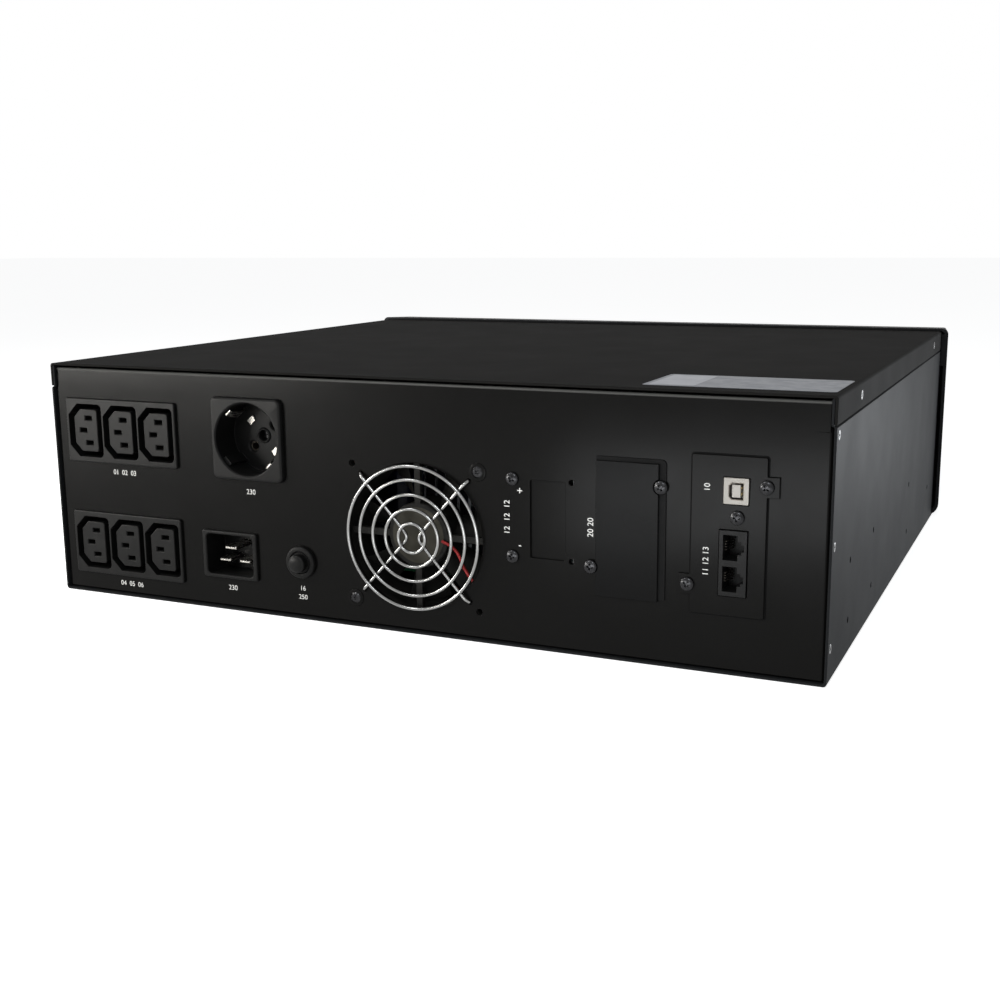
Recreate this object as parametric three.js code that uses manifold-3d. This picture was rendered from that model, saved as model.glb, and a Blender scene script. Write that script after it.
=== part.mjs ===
// Rackmount uninterruptible power supply, three rack units high.
// Millimetres, +Z up. The front bezel faces -Y and the socket panel faces +Y.
// The origin is the centre of the underside of the box that holds the whole unit.

import * as THREE from 'three';
import { mergeVertices } from 'three/addons/utils/BufferGeometryUtils.js';
import Module from 'manifold-3d';

const wasm = await Module();
wasm.setup();

// ---------------------------------------------------------------- driving dimensions

// Sheet-metal case
const caseWidth = 440;
const caseHeight = 132;
const visibleDepth = 392;        // from the rear lip to the back edge of the bezel
const bezelLap = 6;              // how far the case reaches inside the bezel
const sheet = 1.2;
const slipFit = 0.2;             // between sheet parts that slide together
const cutFit = 0.3;              // between a piece and the hole that holds it
const weld = 0.6;                // how far a joined shape reaches into the one that carries it
const bendRadius = 1.6;
const coverFlange = 12.8;        // height of the cover's side flanges
const seamGap = 1.2;             // groove under the cover flange
const joggleRise = 0.9;          // height over which the side steps inwards
const coverGap = 0.3;            // between the cover and what stands under it

// Rear panel, set inside the case
const panelRecess = 1.5;
const panelBend = 2;
const panelFlange = 14;
const panelEdgeGap = 1;

// Front bezel
const bezelDepth = 36;
const bezelLedge = 4.5;          // how far the bezel stands out past each side
const bezelRise = 1.8;           // how far it stands above the cover
const bezelLift = 0.6;           // clearance under it
const bezelWall = 2.2;
const bezelFace = 3;
const bezelTaper = 5;            // how much each side draws in towards the front
const bezelEdge = 3;             // softened front edge
const bezelTopRadius = 4;
const bezelBottomRadius = 9;
const bezelBlock = 26;           // height of the closed part of the ledge, from the top

// Fasteners
const screwHead = 3.3;
const screwHeadHeight = 1.9;
const screwShank = 1.5;
const screwLength = 7;

// Outlet banks: three outlets each
const outletInset = 47.2;        // from the left edge of the case, seen from behind
const outletHeights = { lower: 29.8, upper: 94.6 };
const outletPitch = 24.5;
const outletCount = 3;
const outletFlange = { width: 76, height: 36.4, proud: 1.8, bevel: 0.8 };
const outletBody = { width: 73, height: 32.6, depth: 24 };
const outletMouth = { width: 23.4, height: 30, chamfer: 6.4, radius: 2.6 };
const outletPlug = { width: 16.4, height: 24, chamfer: 4.6, radius: 1.6, sink: 0.4 };
const outletDepth = 16;
const contactSlot = { width: 4.6, height: 2.2, depth: 12 };
const contactOffset = { pole: 2, rise: 7 };

// Round two-pole outlet with side earth clips
const roundInset = 132;
const roundHeight = 95.5;
const roundFlange = { size: 44.6, proud: 3, bevel: 1.6 };
const roundBody = { radius: 21.3, depth: 34 };
const roundRecess = { radius: 19.5, depth: 17.5 };
const roundPin = { radius: 2.7, spacing: 19, depth: 13 };
const roundTilt = -42;           // angle of the pin axis, from +X towards +Z, in degrees
const roundRib = { width: 5.4, height: 1.6, setback: 2.5 };
const earthClip = { width: 4, thickness: 0.8, reach: 2.6 };

// Mains inlet with three blades
const inletInset = 117.2;
const inletHeight = 30.9;
const inletFlange = { width: 35.5, height: 26.6, proud: 2, bevel: 0.9 };
const inletBody = { width: 33, height: 25, depth: 22 };
const inletCavity = { width: 30, height: 22.4, depth: 17 };
const blade = { width: 8, thickness: 2, tail: 9 };
const bladeLayout = [
  { name: 'inlet_pin_earth', across: 0, up: 4, setback: 1 },
  { name: 'inlet_pin_line', across: 6.5, up: -4, setback: 4.5 },
  { name: 'inlet_pin_neutral', across: -6.5, up: -4, setback: 4.5 },
];

// Resettable breaker
const breakerInset = 162.5;
const breakerHeight = 31.2;
const breakerNeck = 5.7;
const breakerNut = { radius: 8.8, thickness: 2.6 };
const breakerButton = { radius: 4.9, stem: 2.6, proud: 7, dome: 1.6, stemLength: 16 };
const breakerBody = { width: 15, height: 24, depth: 30 };
const neckProud = 2.2;

// Fan
const fanInset = 231;
const fanHeight = 51;
const fanSize = 80;
const fanDepth = 25;
const fanWall = 2;
const fanHoleInset = 4.25;        // from the fan's edges
const fanCorner = 4;
const fanHub = 17;
const fanCupWall = 1.6;
const fanGap = 1;                // between blade tips and bore
const fanPlate = 3;              // thickness of the motor plate and its arms
const fanArm = 3.4;
const fanArmSink = 2.4;          // arms lie this far inside the frame's rear face
const fanShaft = 1.5;
const fanSleeve = 4;
const fanSleeveDepth = 10;
const fanBlades = 7;
const fanBladeThickness = 1.3;
const fanBladeSweep = 26;        // degrees from root edge to root edge
const fanLeadRadius = 0.75;

// Wire guard over the fan
const guardWire = 0.9;
const guardWeld = 1.4;           // from the centre of the cross wires to the centre of the rings
const guardRingInsets = [1, 8, 15.6, 23, 30.4];   // inside the fan's bore
const guardStand = 2.2;          // from the panel to the centre of the cross wires
const guardApex = 2.6;
const guardFootInset = { side: 9.4, end: 9 };     // from the fan's edges
const guardHole = 1.3;
const guardStep = 3.1;           // fan width for each step drawn along a cross wire

// Blanked battery port
const portInset = 136.1;         // centre of the window, from the right edge seen from behind
const portHeight = 65.5;
const portWindow = { width: 17.7, height: 38.1 };
const portPlate = { width: 41, height: 50 };
const portScrew = { across: 18.5, rise: 19.4 };
const portStudHole = { across: 12.4, radius: 1.4 };

// Card slot cover
const slotInset = 95.5;
const slotHeight = 65;
const slotCover = { width: 31, height: 68, proud: 1.6, step: 3.6 };
const slotCut = { width: 25, height: 60 };
const slotScrews = [
  { name: 'slot_screw_upper', across: -16.5, up: 21.1 },
  { name: 'slot_screw_lower', across: 18, up: -19.9 },
];
const cage = { depth: 110, wall: 1, width: 27, height: 62 };

// Communication plate
const commInset = 47;
const commHeight = 65.65;
const commPlate = { width: 34.8, height: 74.7, thickness: 1.2 };
const commTab = { reach: 5.6, height: 9.6 };
const commCut = { width: 29, height: 68 };
const commScrews = [
  { name: 'comm_screw_upper', across: -17.3, up: 23.9 },
  { name: 'comm_screw_lower', across: 18.6, up: -24 },
];
const usb = { across: -3.4, up: 21.3, width: 11.5, height: 12.1, depth: 15, proud: 0.5 };
const usbMouth = { width: 8.5, height: 7.8, depth: 9, tongueWidth: 3.2, tongueHeight: 5.6 };
const jack = { across: -2.65, up: -12.4, width: 12.9, height: 30.8, depth: 16, proud: 0.8 };
const jackMouth = { width: 6.8, height: 11.8, depth: 12.5, rise: 7.4, shift: 1.2 };
const jackLatch = { width: 1.6, height: 6, keyWidth: 1.3, keyHeight: 3.2 };
const commFixing = { across: -4.2, up: 9.1 };
const commBoard = { depth: 72, thickness: 1.6, height: 70 };
const commBracket = { height: 7, thickness: 1.2, depth: 12 };

// Battery drawer
const batteryCount = 4;
const battery = { width: 65, depth: 151, height: 94 };
const terminal = { width: 5, length: 6, height: 5.8, inset: 10 };
const batteryGap = 1;
const drawerInset = 142;         // drawer centre from the case's edge on the -X side
const railHeight = 4.5;
const railLedge = 15;
const railLip = { thickness: 1.5, height: 20, gap: 0.4 };
const traySlide = 0.3;
const trayWall = 84;
const doorStop = 0.3;            // between the closed drawer and the front frame
const drawerDoor = { height: 108, bottom: 5.6, gap: 0.6, wall: 2.4 };
const doorOverhang = 2;          // how much wider than the tray the door is, each side
const frameGap = 0.9;            // between the tray and the sides of its way out
const grip = { width: 92, height: 22, depth: 17, wall: 2, bottom: 46, undercut: 6, lip: 3.2 };
const doorSlot = { count: 7, length: 62, height: 2.6, pitch: 9, bottom: 22, inset: 46 };
const linkBar = { width: 14, thickness: 1.6 };
const plug = { width: 44, height: 22, depth: 12, floor: 60 };
const receptacleDepth = 16;

// Display and buttons, right of the drawer seen from the front
const displayInset = 78;         // centre of the display from the case's edge on the +X side
const displayHeight = 88;
const displayWindow = { width: 68, height: 40, thickness: 1.6, ledge: 2.4 };
const lcd = { width: 62, height: 34 };
const displayBoard = { width: 112, height: 82, thickness: 1.6, bottom: 34, setback: 14 };
const pushButton = { radius: 5, stem: 2, flange: 6.4, flangeDepth: 1.4, travel: 1.5, proud: 0.8 };
const pushButtonHeight = 52;
const pushButtons = [
  { name: 'power_button', across: 24 },
  { name: 'select_button', across: 0 },
  { name: 'mute_button', across: -24 },
];
const frontVent = { count: 5, length: 104, height: 2.6, pitch: 6, bottom: 13 };
const boss = 4;                  // radius of the bezel's posts
const displayPost = 3;           // radius of the display board's posts

// Transformer
const transformerInset = 76;     // centre from the case's edge on the +X side
const transformerSetback = 92;   // centre behind the case's front edge
const core = { width: 120, depth: 62, height: 100, leg: 40, window: 20, yoke: 20 };
const coilGap = 0.3;
const coilCorner = 12;
const corePlate = { width: 136, depth: 84, thickness: 3 };

// Power board
const board = { width: 226, depth: 140, thickness: 1.6, setback: 74 };
const standoff = { radius: 4, height: 10, inset: 8 };
const boardInset = 240;             // board centre from the case's edge on the +X side
const sinkSize = { width: 30, depth: 112, height: 62, fins: 5, fin: 1.6, root: 5 };
const sinkOffsets = [-30, 34];
const capacitor = { radius: 17.5, height: 48 };
const capacitorOffsets = [-30, 12];
const capacitorAcross = 88;

// Round features are drawn with this many sides
const fine = 36;
const medium = 18;
const coarse = 10;
const ringSteps = 26;

// ---------------------------------------------------------------- derived places

const frontProud = pushButton.proud;
const rearProud = breakerButton.proud - panelRecess;
const overallDepth = frontProud + bezelDepth + visibleDepth + rearProud;

const caseRear = overallDepth / 2 - rearProud;
const bezelBack = caseRear - visibleDepth;
const bezelFront = bezelBack - bezelDepth;
const caseFront = bezelBack - bezelLap;
const panelFace = caseRear - panelRecess;
const panelBack = panelFace - sheet;

const sideOuter = caseWidth / 2;
const sideInner = sideOuter - sheet;
const stripOuter = sideInner - slipFit;
const stripInner = stripOuter - sheet;
const flangeLow = caseHeight - coverFlange;
const stepHigh = flangeLow - seamGap + joggleRise;
const stepLow = flangeLow - seamGap;
const stripTop = caseHeight - sheet - coverGap;
const floorTop = sheet;

const outletX = sideOuter - outletInset;
const roundX = sideOuter - roundInset;
const inletX = sideOuter - inletInset;
const breakerX = sideOuter - breakerInset;
const fanX = sideOuter - fanInset;
const portX = portInset - sideOuter;
const slotX = slotInset - sideOuter;
const commX = commInset - sideOuter;
const drawerX = drawerInset - sideOuter;
const displayX = sideOuter - displayInset;
const transformerX = sideOuter - transformerInset;
const boardX = sideOuter - boardInset;

const fanBore = fanSize / 2 - fanWall;
const fanHole = fanSize / 2 - fanHoleInset;
const guardRings = guardRingInsets.map((inset) => fanBore - inset);
const guardFoot = { across: fanSize / 2 - guardFootInset.side, up: fanSize / 2 - guardFootInset.end };

// ---------------------------------------------------------------- shape helpers

// Closed three.js geometry to a solid that can be joined and cut.
function solid(geometry) {
  const bare = geometry.clone();
  bare.deleteAttribute('normal');
  bare.deleteAttribute('uv');
  const merged = mergeVertices(bare, 1e-4);
  const corners = merged.index.array;
  const kept = [];
  for (let first = 0; first < corners.length; first += 3) {
    const [a, b, c] = corners.slice(first, first + 3);
    if (a !== b && b !== c && c !== a) kept.push(a, b, c);
  }
  return new wasm.Manifold(new wasm.Mesh({
    numProp: 3,
    vertProperties: new Float32Array(merged.attributes.position.array),
    triVerts: new Uint32Array(kept),
  }));
}

// Box from its low and high value along each axis. Its corners take those values exactly, so
// boxes that share a face plane join without a step.
function block([x0, x1], [y0, y1], [z0, z1]) {
  const geometry = new THREE.BoxGeometry(1, 1, 1);
  const corners = geometry.attributes.position;
  for (let place = 0; place < corners.count; place++) {
    corners.setXYZ(place,
      corners.getX(place) < 0 ? x0 : x1,
      corners.getY(place) < 0 ? y0 : y1,
      corners.getZ(place) < 0 ? z0 : z1);
  }
  return solid(geometry);
}

// Box centred on x and z, between two values of y.
function bar(x, z, width, height, y) {
  return block([x - width / 2, x + width / 2], y, [z - height / 2, z + height / 2]);
}

// Cylinder along Y.
function rodY(x, z, radius, [y0, y1], sides = medium) {
  const geometry = new THREE.CylinderGeometry(radius, radius, y1 - y0, sides);
  geometry.translate(x, (y0 + y1) / 2, z);
  return solid(geometry);
}

// Cylinder along X.
function rodX(y, z, radius, [x0, x1], sides = 8) {
  const geometry = new THREE.CylinderGeometry(radius, radius, x1 - x0, sides);
  geometry.rotateZ(-Math.PI / 2);
  geometry.translate((x0 + x1) / 2, y, z);
  return solid(geometry);
}

// Cylinder along Z.
function rodZ(x, y, radius, [z0, z1], sides = medium) {
  const geometry = new THREE.CylinderGeometry(radius, radius, z1 - z0, sides);
  geometry.rotateX(Math.PI / 2);
  geometry.translate(x, y, (z0 + z1) / 2);
  return solid(geometry);
}

// Outline in the XZ plane, extruded along Y.
function extrudeY(shape, [y0, y1], curveSegments = 3) {
  const geometry = new THREE.ExtrudeGeometry(shape, { depth: y1 - y0, bevelEnabled: false, curveSegments });
  geometry.rotateX(Math.PI / 2);
  geometry.translate(0, y1, 0);
  return solid(geometry);
}

// Outline in the XY plane, extruded along Z.
function extrudeZ(shape, [z0, z1], curveSegments = 3) {
  const geometry = new THREE.ExtrudeGeometry(shape, { depth: z1 - z0, bevelEnabled: false, curveSegments });
  geometry.translate(0, 0, z0);
  return solid(geometry);
}

// Closed outline through points.
function outline(points) {
  return new THREE.Shape(points.map(([a, b]) => new THREE.Vector2(a, b)));
}

// Points round a circle.
function circlePoints(radius, sides) {
  return Array.from({ length: sides }, (_, step) => {
    const angle = 2 * Math.PI * step / sides;
    return [radius * Math.cos(angle), radius * Math.sin(angle)];
  });
}

// Rectangle with rounded corners: four radii, from the top right corner round to the left.
function roundedPoints([a0, a1], [b0, b1], [topRight, topLeft, lowLeft, lowRight], steps = 3) {
  const corners = [
    [a1 - topRight, b1 - topRight, topRight, 0],
    [a0 + topLeft, b1 - topLeft, topLeft, 1],
    [a0 + lowLeft, b0 + lowLeft, lowLeft, 2],
    [a1 - lowRight, b0 + lowRight, lowRight, 3],
  ];
  const points = [];
  for (const [a, b, radius, quarter] of corners) {
    for (let step = 0; step <= steps; step++) {
      const angle = (quarter + step / steps) * Math.PI / 2;
      points.push(new THREE.Vector2(a + radius * Math.cos(angle), b + radius * Math.sin(angle)));
    }
  }
  return points;
}

// Skin through rings of points, equal in number, closed by a cap at each end.
function skin(rings, cap) {
  const count = rings[0].length;
  const top = (rings.length - 1) * count;
  const index = [];
  for (let level = 0; level + 1 < rings.length; level++) {
    for (let step = 0; step < count; step++) {
      const a = level * count + step;
      const b = level * count + (step + 1) % count;
      index.push(a, b + count, b, a, a + count, b + count);
    }
  }
  for (const [a, b, c] of cap) index.push(a, b, c, top + a, top + c, top + b);
  const points = rings.flat();
  let volume = 0;
  for (let corner = 0; corner < index.length; corner += 3) {
    const [a, b, c] = [0, 1, 2].map((step) => points[index[corner + step]]);
    volume += a.dot(new THREE.Vector3().crossVectors(b, c));
  }
  if (volume < 0) index.reverse();
  const geometry = new THREE.BufferGeometry();
  const places = points.flatMap((point) => [point.x, point.y, point.z]);
  geometry.setAttribute('position', new THREE.Float32BufferAttribute(places, 3));
  geometry.setIndex(index);
  return solid(geometry);
}

// Skin through anticlockwise XZ outlines at rising y.
function loftY(rings) {
  const flat = rings[0].points;
  const cap = THREE.ShapeUtils.triangulateShape(flat, []).map(([a, b, c]) => {
    const left = flat[b].clone().sub(flat[a]).cross(flat[c].clone().sub(flat[a]));
    return left > 0 ? [a, b, c] : [a, c, b];
  });
  const placed = rings.map(({ y, points }) => points.map((point) => new THREE.Vector3(point.x, y, point.y)));
  return skin(placed, cap);
}

// Flange on the rear panel, with a bevel round its outer face.
function bevelledFlange(x, z, width, height, y, proud, bevel) {
  const ring = (inset) => roundedPoints(
    [x - width / 2 + inset, x + width / 2 - inset],
    [z - height / 2 + inset, z + height / 2 - inset],
    [1, 1, 1, 1], 2);
  return loftY([
    { y, points: ring(0) },
    { y: y + proud - bevel, points: ring(0) },
    { y: y + proud, points: ring(bevel) },
  ]);
}

// Tube of a round section along a path.
function tube(points, radius, steps, sides) {
  const knots = points.map((point) => new THREE.Vector3(...point));
  const path = new THREE.CatmullRomCurve3(knots, false, 'centripetal');
  const section = outline(circlePoints(radius, sides));
  return solid(new THREE.ExtrudeGeometry(section, { steps, extrudePath: path, bevelEnabled: false }));
}

// Joined pieces.
function join(pieces) {
  return pieces.reduce((whole, piece) => whole.add(piece));
}

// One piece with others cut from it.
function cut(piece, cutters) {
  return cutters.reduce((rest, cutter) => rest.subtract(cutter), piece);
}

// Solid turned about the Y axis through a point: a positive angle turns +X towards +Z.
function turned(piece, degrees, x, z) {
  return piece.translate([-x, 0, -z]).rotate([0, -degrees, 0]).translate([x, 0, z]);
}

// ---------------------------------------------------------------- materials

function finish(color, roughness, metalness) {
  return { color, roughness, metalness };
}

const finishes = {
  paintedSteel: finish(0x2b2b2b, 0.55, 0.2),
  panelPaint: finish(0x30302f, 0.6, 0.2),
  zincSteel: finish(0xa8abad, 0.4, 0.9),
  blackPlastic: finish(0x1b1b1c, 0.5, 0),
  bezelPlastic: finish(0x232425, 0.55, 0),
  chrome: finish(0xd8d8d6, 0.15, 1),
  blackScrew: finish(0x1a1a1a, 0.35, 0.8),
  nickel: finish(0xcfc9bb, 0.25, 1),
  creamPlastic: finish(0xcfc9c0, 0.5, 0),
  redLead: finish(0xa8262a, 0.5, 0),
  circuitBoard: finish(0x1f4a2c, 0.6, 0),
  batteryCase: finish(0x3a3c40, 0.6, 0),
  aluminium: finish(0x9a9c9e, 0.45, 0.9),
  capacitorSleeve: finish(0x1d2340, 0.4, 0),
  copperWinding: finish(0x8a4a22, 0.45, 0.3),
  lamination: finish(0x55585c, 0.6, 0.7),
  darkGlass: finish(0x101418, 0.1, 0),
  displayGlass: finish(0x6f8f7f, 0.3, 0),
};

const unit = new THREE.Group();

// Adds a solid to the unit as a named mesh with its own material.
function part(name, piece, look) {
  const { vertProperties, triVerts } = piece.getMesh();
  const geometry = new THREE.BufferGeometry();
  geometry.setAttribute('position', new THREE.BufferAttribute(vertProperties, 3));
  geometry.setIndex(new THREE.BufferAttribute(triVerts, 1));
  geometry.computeVertexNormals();
  const mesh = new THREE.Mesh(geometry, new THREE.MeshStandardMaterial(look));
  mesh.name = name;
  unit.add(mesh);
}

// ---------------------------------------------------------------- case

// Side holes for slide rails, as distances from the rear lip, and their heights.
const railHoleSetbacks = [50, 119.3, 255.5];
const railHoleHeights = [18, 47.8];
const frontRailHole = { setback: 355.3, height: 28.2 };
const railHoleRadius = 1.6;

// Screws through the sides into the rear panel's flanges, and into the cover's flanges.
const panelScrewSetback = 6;
const panelScrewHeights = [16.5, 63.8, 114.2];
const coverScrewSetbacks = [62, 351];
const coverScrewHeight = 125.4;
const screwHole = screwShank + slipFit;

// Drilled on both sides of the case.
function sideHoles(setback, height, radius) {
  const y = caseRear - setback;
  return [
    rodX(y, height, radius, [-sideOuter - 1, -stripInner + 1]),
    rodX(y, height, radius, [stripInner - 1, sideOuter + 1]),
  ];
}

function panelScrewHoles() {
  return panelScrewHeights.flatMap((height) => sideHoles(panelScrewSetback, height, screwHole));
}

function coverScrewHoles() {
  return coverScrewSetbacks.flatMap((setback) => sideHoles(setback, coverScrewHeight, screwHole));
}

// Tray, rails and drawer share these sizes.
const trayInner = batteryCount * battery.width + (batteryCount + 1) * batteryGap;
const trayOuter = trayInner + 2 * sheet;
const trayBottom = floorTop + railHeight + traySlide;
const trayFront = caseFront - doorStop;
const trayRear = trayFront + battery.depth + batteryGap + sheet;
const doorWidth = trayOuter + 2 * doorOverhang;
const plugRear = trayRear + plug.depth;
const receptacleFront = plugRear + cutFit;
const receptacleRear = receptacleFront + receptacleDepth;
const plugTop = plug.floor + plug.height;

const boardRear = caseRear - board.setback;
const boardFront = boardRear - board.depth;
const boardBottom = floorTop + standoff.height;
const boardTop = boardBottom + board.thickness;

// Rail under one edge of the tray, welded to the floor: side is -1 or 1.
function drawerRail(side) {
  const edge = trayOuter / 2;
  const lipInside = edge + railLip.gap;
  const lipOutside = lipInside + railLip.thickness;
  const across = (near, far) => [near, far].map((offset) => drawerX + side * offset).sort((a, b) => a - b);
  const run = [caseFront + sheet + cutFit, trayRear];
  const ledge = block(across(edge - railLedge, lipOutside), run, [floorTop - weld, floorTop + railHeight]);
  const lip = block(across(lipInside, lipOutside), run, [floorTop, floorTop + railLip.height]);
  return ledge.add(lip);
}

// Bent-up tab that holds the drawer's receptacle.
function receptacleTab() {
  const width = plug.width / 2;
  return block([drawerX - width, drawerX + width], [receptacleRear, receptacleRear + sheet],
    [floorTop - weld, plugTop]);
}

function boardStandoffs() {
  const x = board.width / 2 - standoff.inset;
  const rows = [boardFront + standoff.inset, boardRear - standoff.inset];
  const length = [floorTop - weld, boardBottom];
  return [boardX - x, boardX + x]
    .flatMap((across) => rows.map((y) => rodZ(across, y, standoff.radius, length, coarse)));
}

function chassisBase() {
  const shape = new THREE.Shape();
  shape.moveTo(-sideOuter + bendRadius, 0);
  shape.lineTo(sideOuter - bendRadius, 0);
  shape.absarc(sideOuter - bendRadius, bendRadius, bendRadius, -Math.PI / 2, 0, false);
  for (const side of [1, -1]) {
    const climb = [
      [sideOuter, stepLow],
      [stripOuter, stepHigh],
      [stripOuter, stripTop],
      [stripInner, stripTop],
      [stripInner, stepHigh],
      [sideInner, stepLow],
      [sideInner, floorTop],
    ];
    if (side < 0) climb.reverse();
    climb.forEach(([x, z]) => shape.lineTo(side * x, z));
  }
  shape.absarc(-sideOuter + bendRadius, bendRadius, bendRadius, Math.PI, 1.5 * Math.PI, false);
  const shell = extrudeY(shape, [caseFront, caseRear]);
  const railHoles = railHoleSetbacks.flatMap((setback) => railHoleHeights
    .flatMap((height) => sideHoles(setback, height, railHoleRadius)));
  const frontHoles = sideHoles(frontRailHole.setback, frontRailHole.height, railHoleRadius);
  const drilled = cut(shell, [...railHoles, ...frontHoles, ...panelScrewHoles(), ...coverScrewHoles()]);
  return join([drilled, drawerRail(-1), drawerRail(1), receptacleTab(), ...boardStandoffs()]);
}

function topCover() {
  const shape = new THREE.Shape();
  const roof = caseHeight - sheet;
  shape.moveTo(sideOuter, flangeLow);
  shape.lineTo(sideOuter, caseHeight - bendRadius);
  shape.absarc(sideOuter - bendRadius, caseHeight - bendRadius, bendRadius, 0, Math.PI / 2, false);
  shape.lineTo(-sideOuter + bendRadius, caseHeight);
  shape.absarc(-sideOuter + bendRadius, caseHeight - bendRadius, bendRadius, Math.PI / 2, Math.PI, false);
  shape.lineTo(-sideOuter, flangeLow);
  shape.lineTo(-sideInner, flangeLow);
  shape.lineTo(-sideInner, roof);
  shape.lineTo(sideInner, roof);
  shape.lineTo(sideInner, flangeLow);
  return cut(extrudeY(shape, [caseFront, caseRear]), coverScrewHoles());
}

// Folded panel across the case: a plate with a flange down each side, on its +Y side (1) or -Y side (-1).
function foldedPanel(face, away) {
  const wide = stripOuter;
  const back = face + away * sheet;
  const tip = face + away * panelFlange;
  const bend = face + away * panelBend;
  const quarter = -away * Math.PI / 2;
  const shape = new THREE.Shape();
  shape.moveTo(wide, tip);
  shape.lineTo(wide, bend);
  shape.absarc(wide - panelBend, bend, panelBend, 0, quarter, away > 0);
  shape.absarc(-wide + panelBend, bend, panelBend, quarter, 2 * quarter, away > 0);
  shape.lineTo(-wide, tip);
  shape.lineTo(-wide + sheet, tip);
  shape.lineTo(-wide + sheet, back);
  shape.lineTo(wide - sheet, back);
  shape.lineTo(wide - sheet, tip);
  const lowPart = extrudeZ(shape, [floorTop + panelEdgeGap, stepLow - slipFit]);
  const narrow = stripInner - cutFit;
  const plate = [Math.min(face, back), Math.max(face, back)];
  const topEdge = stripTop - panelEdgeGap;
  return lowPart.add(block([-narrow, narrow], plate, [stepLow - 2 * sheet, topEdge]));
}

// Hole through the rear panel for a body of this size.
function panelCut(x, z, width, height) {
  return bar(x, z, width + 2 * cutFit, height + 2 * cutFit, [panelBack - 1, panelFace + 1]);
}

function panelDrill(x, z, radius, sides = coarse) {
  return rodY(x, z, radius, [panelBack - 1, panelFace + 1], sides);
}

// The four ways to take a plus and minus pair of offsets.
function fourCorners(across, up) {
  return [[1, 1], [-1, 1], [-1, -1], [1, -1]].map(([a, b]) => [a * across, b * up]);
}

function rearPanel() {
  const cutters = [
    ...Object.values(outletHeights).map((z) => panelCut(outletX, z, outletBody.width, outletBody.height)),
    panelDrill(roundX, roundHeight, roundBody.radius + cutFit, fine),
    panelCut(inletX, inletHeight, inletBody.width, inletBody.height),
    panelDrill(breakerX, breakerHeight, breakerNeck + cutFit, medium),
    panelDrill(fanX, fanHeight, fanBore, fine),
    ...fourCorners(fanHole, fanHole)
      .map(([across, up]) => panelDrill(fanX + across, fanHeight + up, screwHole)),
    ...fourCorners(guardFoot.across, guardFoot.up)
      .map(([across, up]) => panelDrill(fanX + across, fanHeight + up, guardHole)),
    panelCut(portX, portHeight, portWindow.width, portWindow.height),
    ...[1, -1].flatMap((side) => [
      panelDrill(portX + portScrew.across, portHeight + side * portScrew.rise, screwHole),
      panelDrill(portX - portStudHole.across, portHeight + side * portScrew.rise, portStudHole.radius),
    ]),
    panelCut(slotX, slotHeight, slotCut.width, slotCut.height),
    ...slotScrews.map(({ across, up }) => panelDrill(slotX + across, slotHeight + up, screwHole)),
    panelCut(commX, commHeight, commCut.width, commCut.height),
    ...commScrews.map(({ across, up }) => panelDrill(commX + across, commHeight + up, screwHole)),
    ...panelScrewHoles(),
  ];
  return cut(foldedPanel(panelFace, -1), cutters);
}

const doorTop = drawerDoor.bottom + drawerDoor.height;

// The front frame is open where the drawer comes out and where the display's leads pass.
function frontFrame() {
  const reach = [caseFront - 1, caseFront + sheet + 1];
  const half = trayOuter / 2 + frameGap;
  const drawerWay = block([drawerX - half, drawerX + half], reach, [trayBottom - slipFit, doorTop - frameGap]);
  const leadWay = bar(displayX, displayHeight, displayWindow.width, displayWindow.height, reach);
  return cut(foldedPanel(caseFront, 1), [drawerWay, leadWay]);
}

// ---------------------------------------------------------------- bezel and drawer

// Outline of the bezel, drawn in by an inset at the sides and another at top and bottom.
function bezelOutline(side, end) {
  const half = sideOuter + bezelLedge - side;
  const round = (radius) => Math.max(radius - side / 2, 1);
  const [top, bottom] = [round(bezelTopRadius), round(bezelBottomRadius)];
  const level = [bezelLift + end, caseHeight + bezelRise - end];
  return roundedPoints([-half, half], level, [top, top, bottom, bottom], 4);
}

function bezelShell() {
  const outside = loftY([
    { y: bezelFront, points: bezelOutline(bezelTaper + bezelEdge, bezelEdge) },
    { y: bezelFront + bezelEdge, points: bezelOutline(bezelTaper, bezelEdge / 2) },
    { y: bezelBack, points: bezelOutline(0, 0) },
  ]);
  const thin = bezelRise - cutFit;
  const inside = loftY([
    { y: bezelFront + bezelFace, points: bezelOutline(bezelTaper + bezelEdge + bezelWall, bezelEdge + thin) },
    { y: bezelBack + 1, points: bezelOutline(bezelWall, thin) },
  ]);
  const caseRoom = block([-sideOuter - cutFit, sideOuter + cutFit], [caseFront - cutFit, bezelBack + 1],
    [-1, caseHeight + cutFit]);
  return cut(outside, [inside, caseRoom]);
}

// Solid upper part of the ledge beside the case.
function ledgeBlock(side) {
  const near = sideOuter + cutFit;
  const far = sideOuter + bezelLedge - bezelWall / 2;
  const across = [side * near, side * far].sort((a, b) => a - b);
  const top = caseHeight + bezelRise - bezelTopRadius;
  return block(across, [caseFront, bezelBack], [caseHeight + bezelRise - bezelBlock, top]);
}

// Posts inside the bezel that meet the front frame.
function bezelPosts() {
  const length = [bezelFront + bezelFace / 2, caseFront];
  const high = doorTop + 2 * boss;
  const low = drawerDoor.bottom + 2 * boss;
  const inner = displayX - displayBoard.width / 2 - boss;
  const outer = sideOuter - 2 * boss;
  return [[-outer + boss, high], [inner, high], [outer, high], [outer, low]]
    .map(([x, z]) => rodY(x, z, boss, length, coarse));
}

function displayPosts() {
  const length = [bezelFront + bezelFace / 2, bezelFront + displayBoard.setback];
  const x = displayBoard.width / 2 - boss;
  return [displayBoard.bottom + boss, displayBoard.bottom + displayBoard.height - boss]
    .flatMap((z) => [-x, x].map((across) => rodY(displayX + across, z, displayPost, length, coarse)));
}

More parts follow.
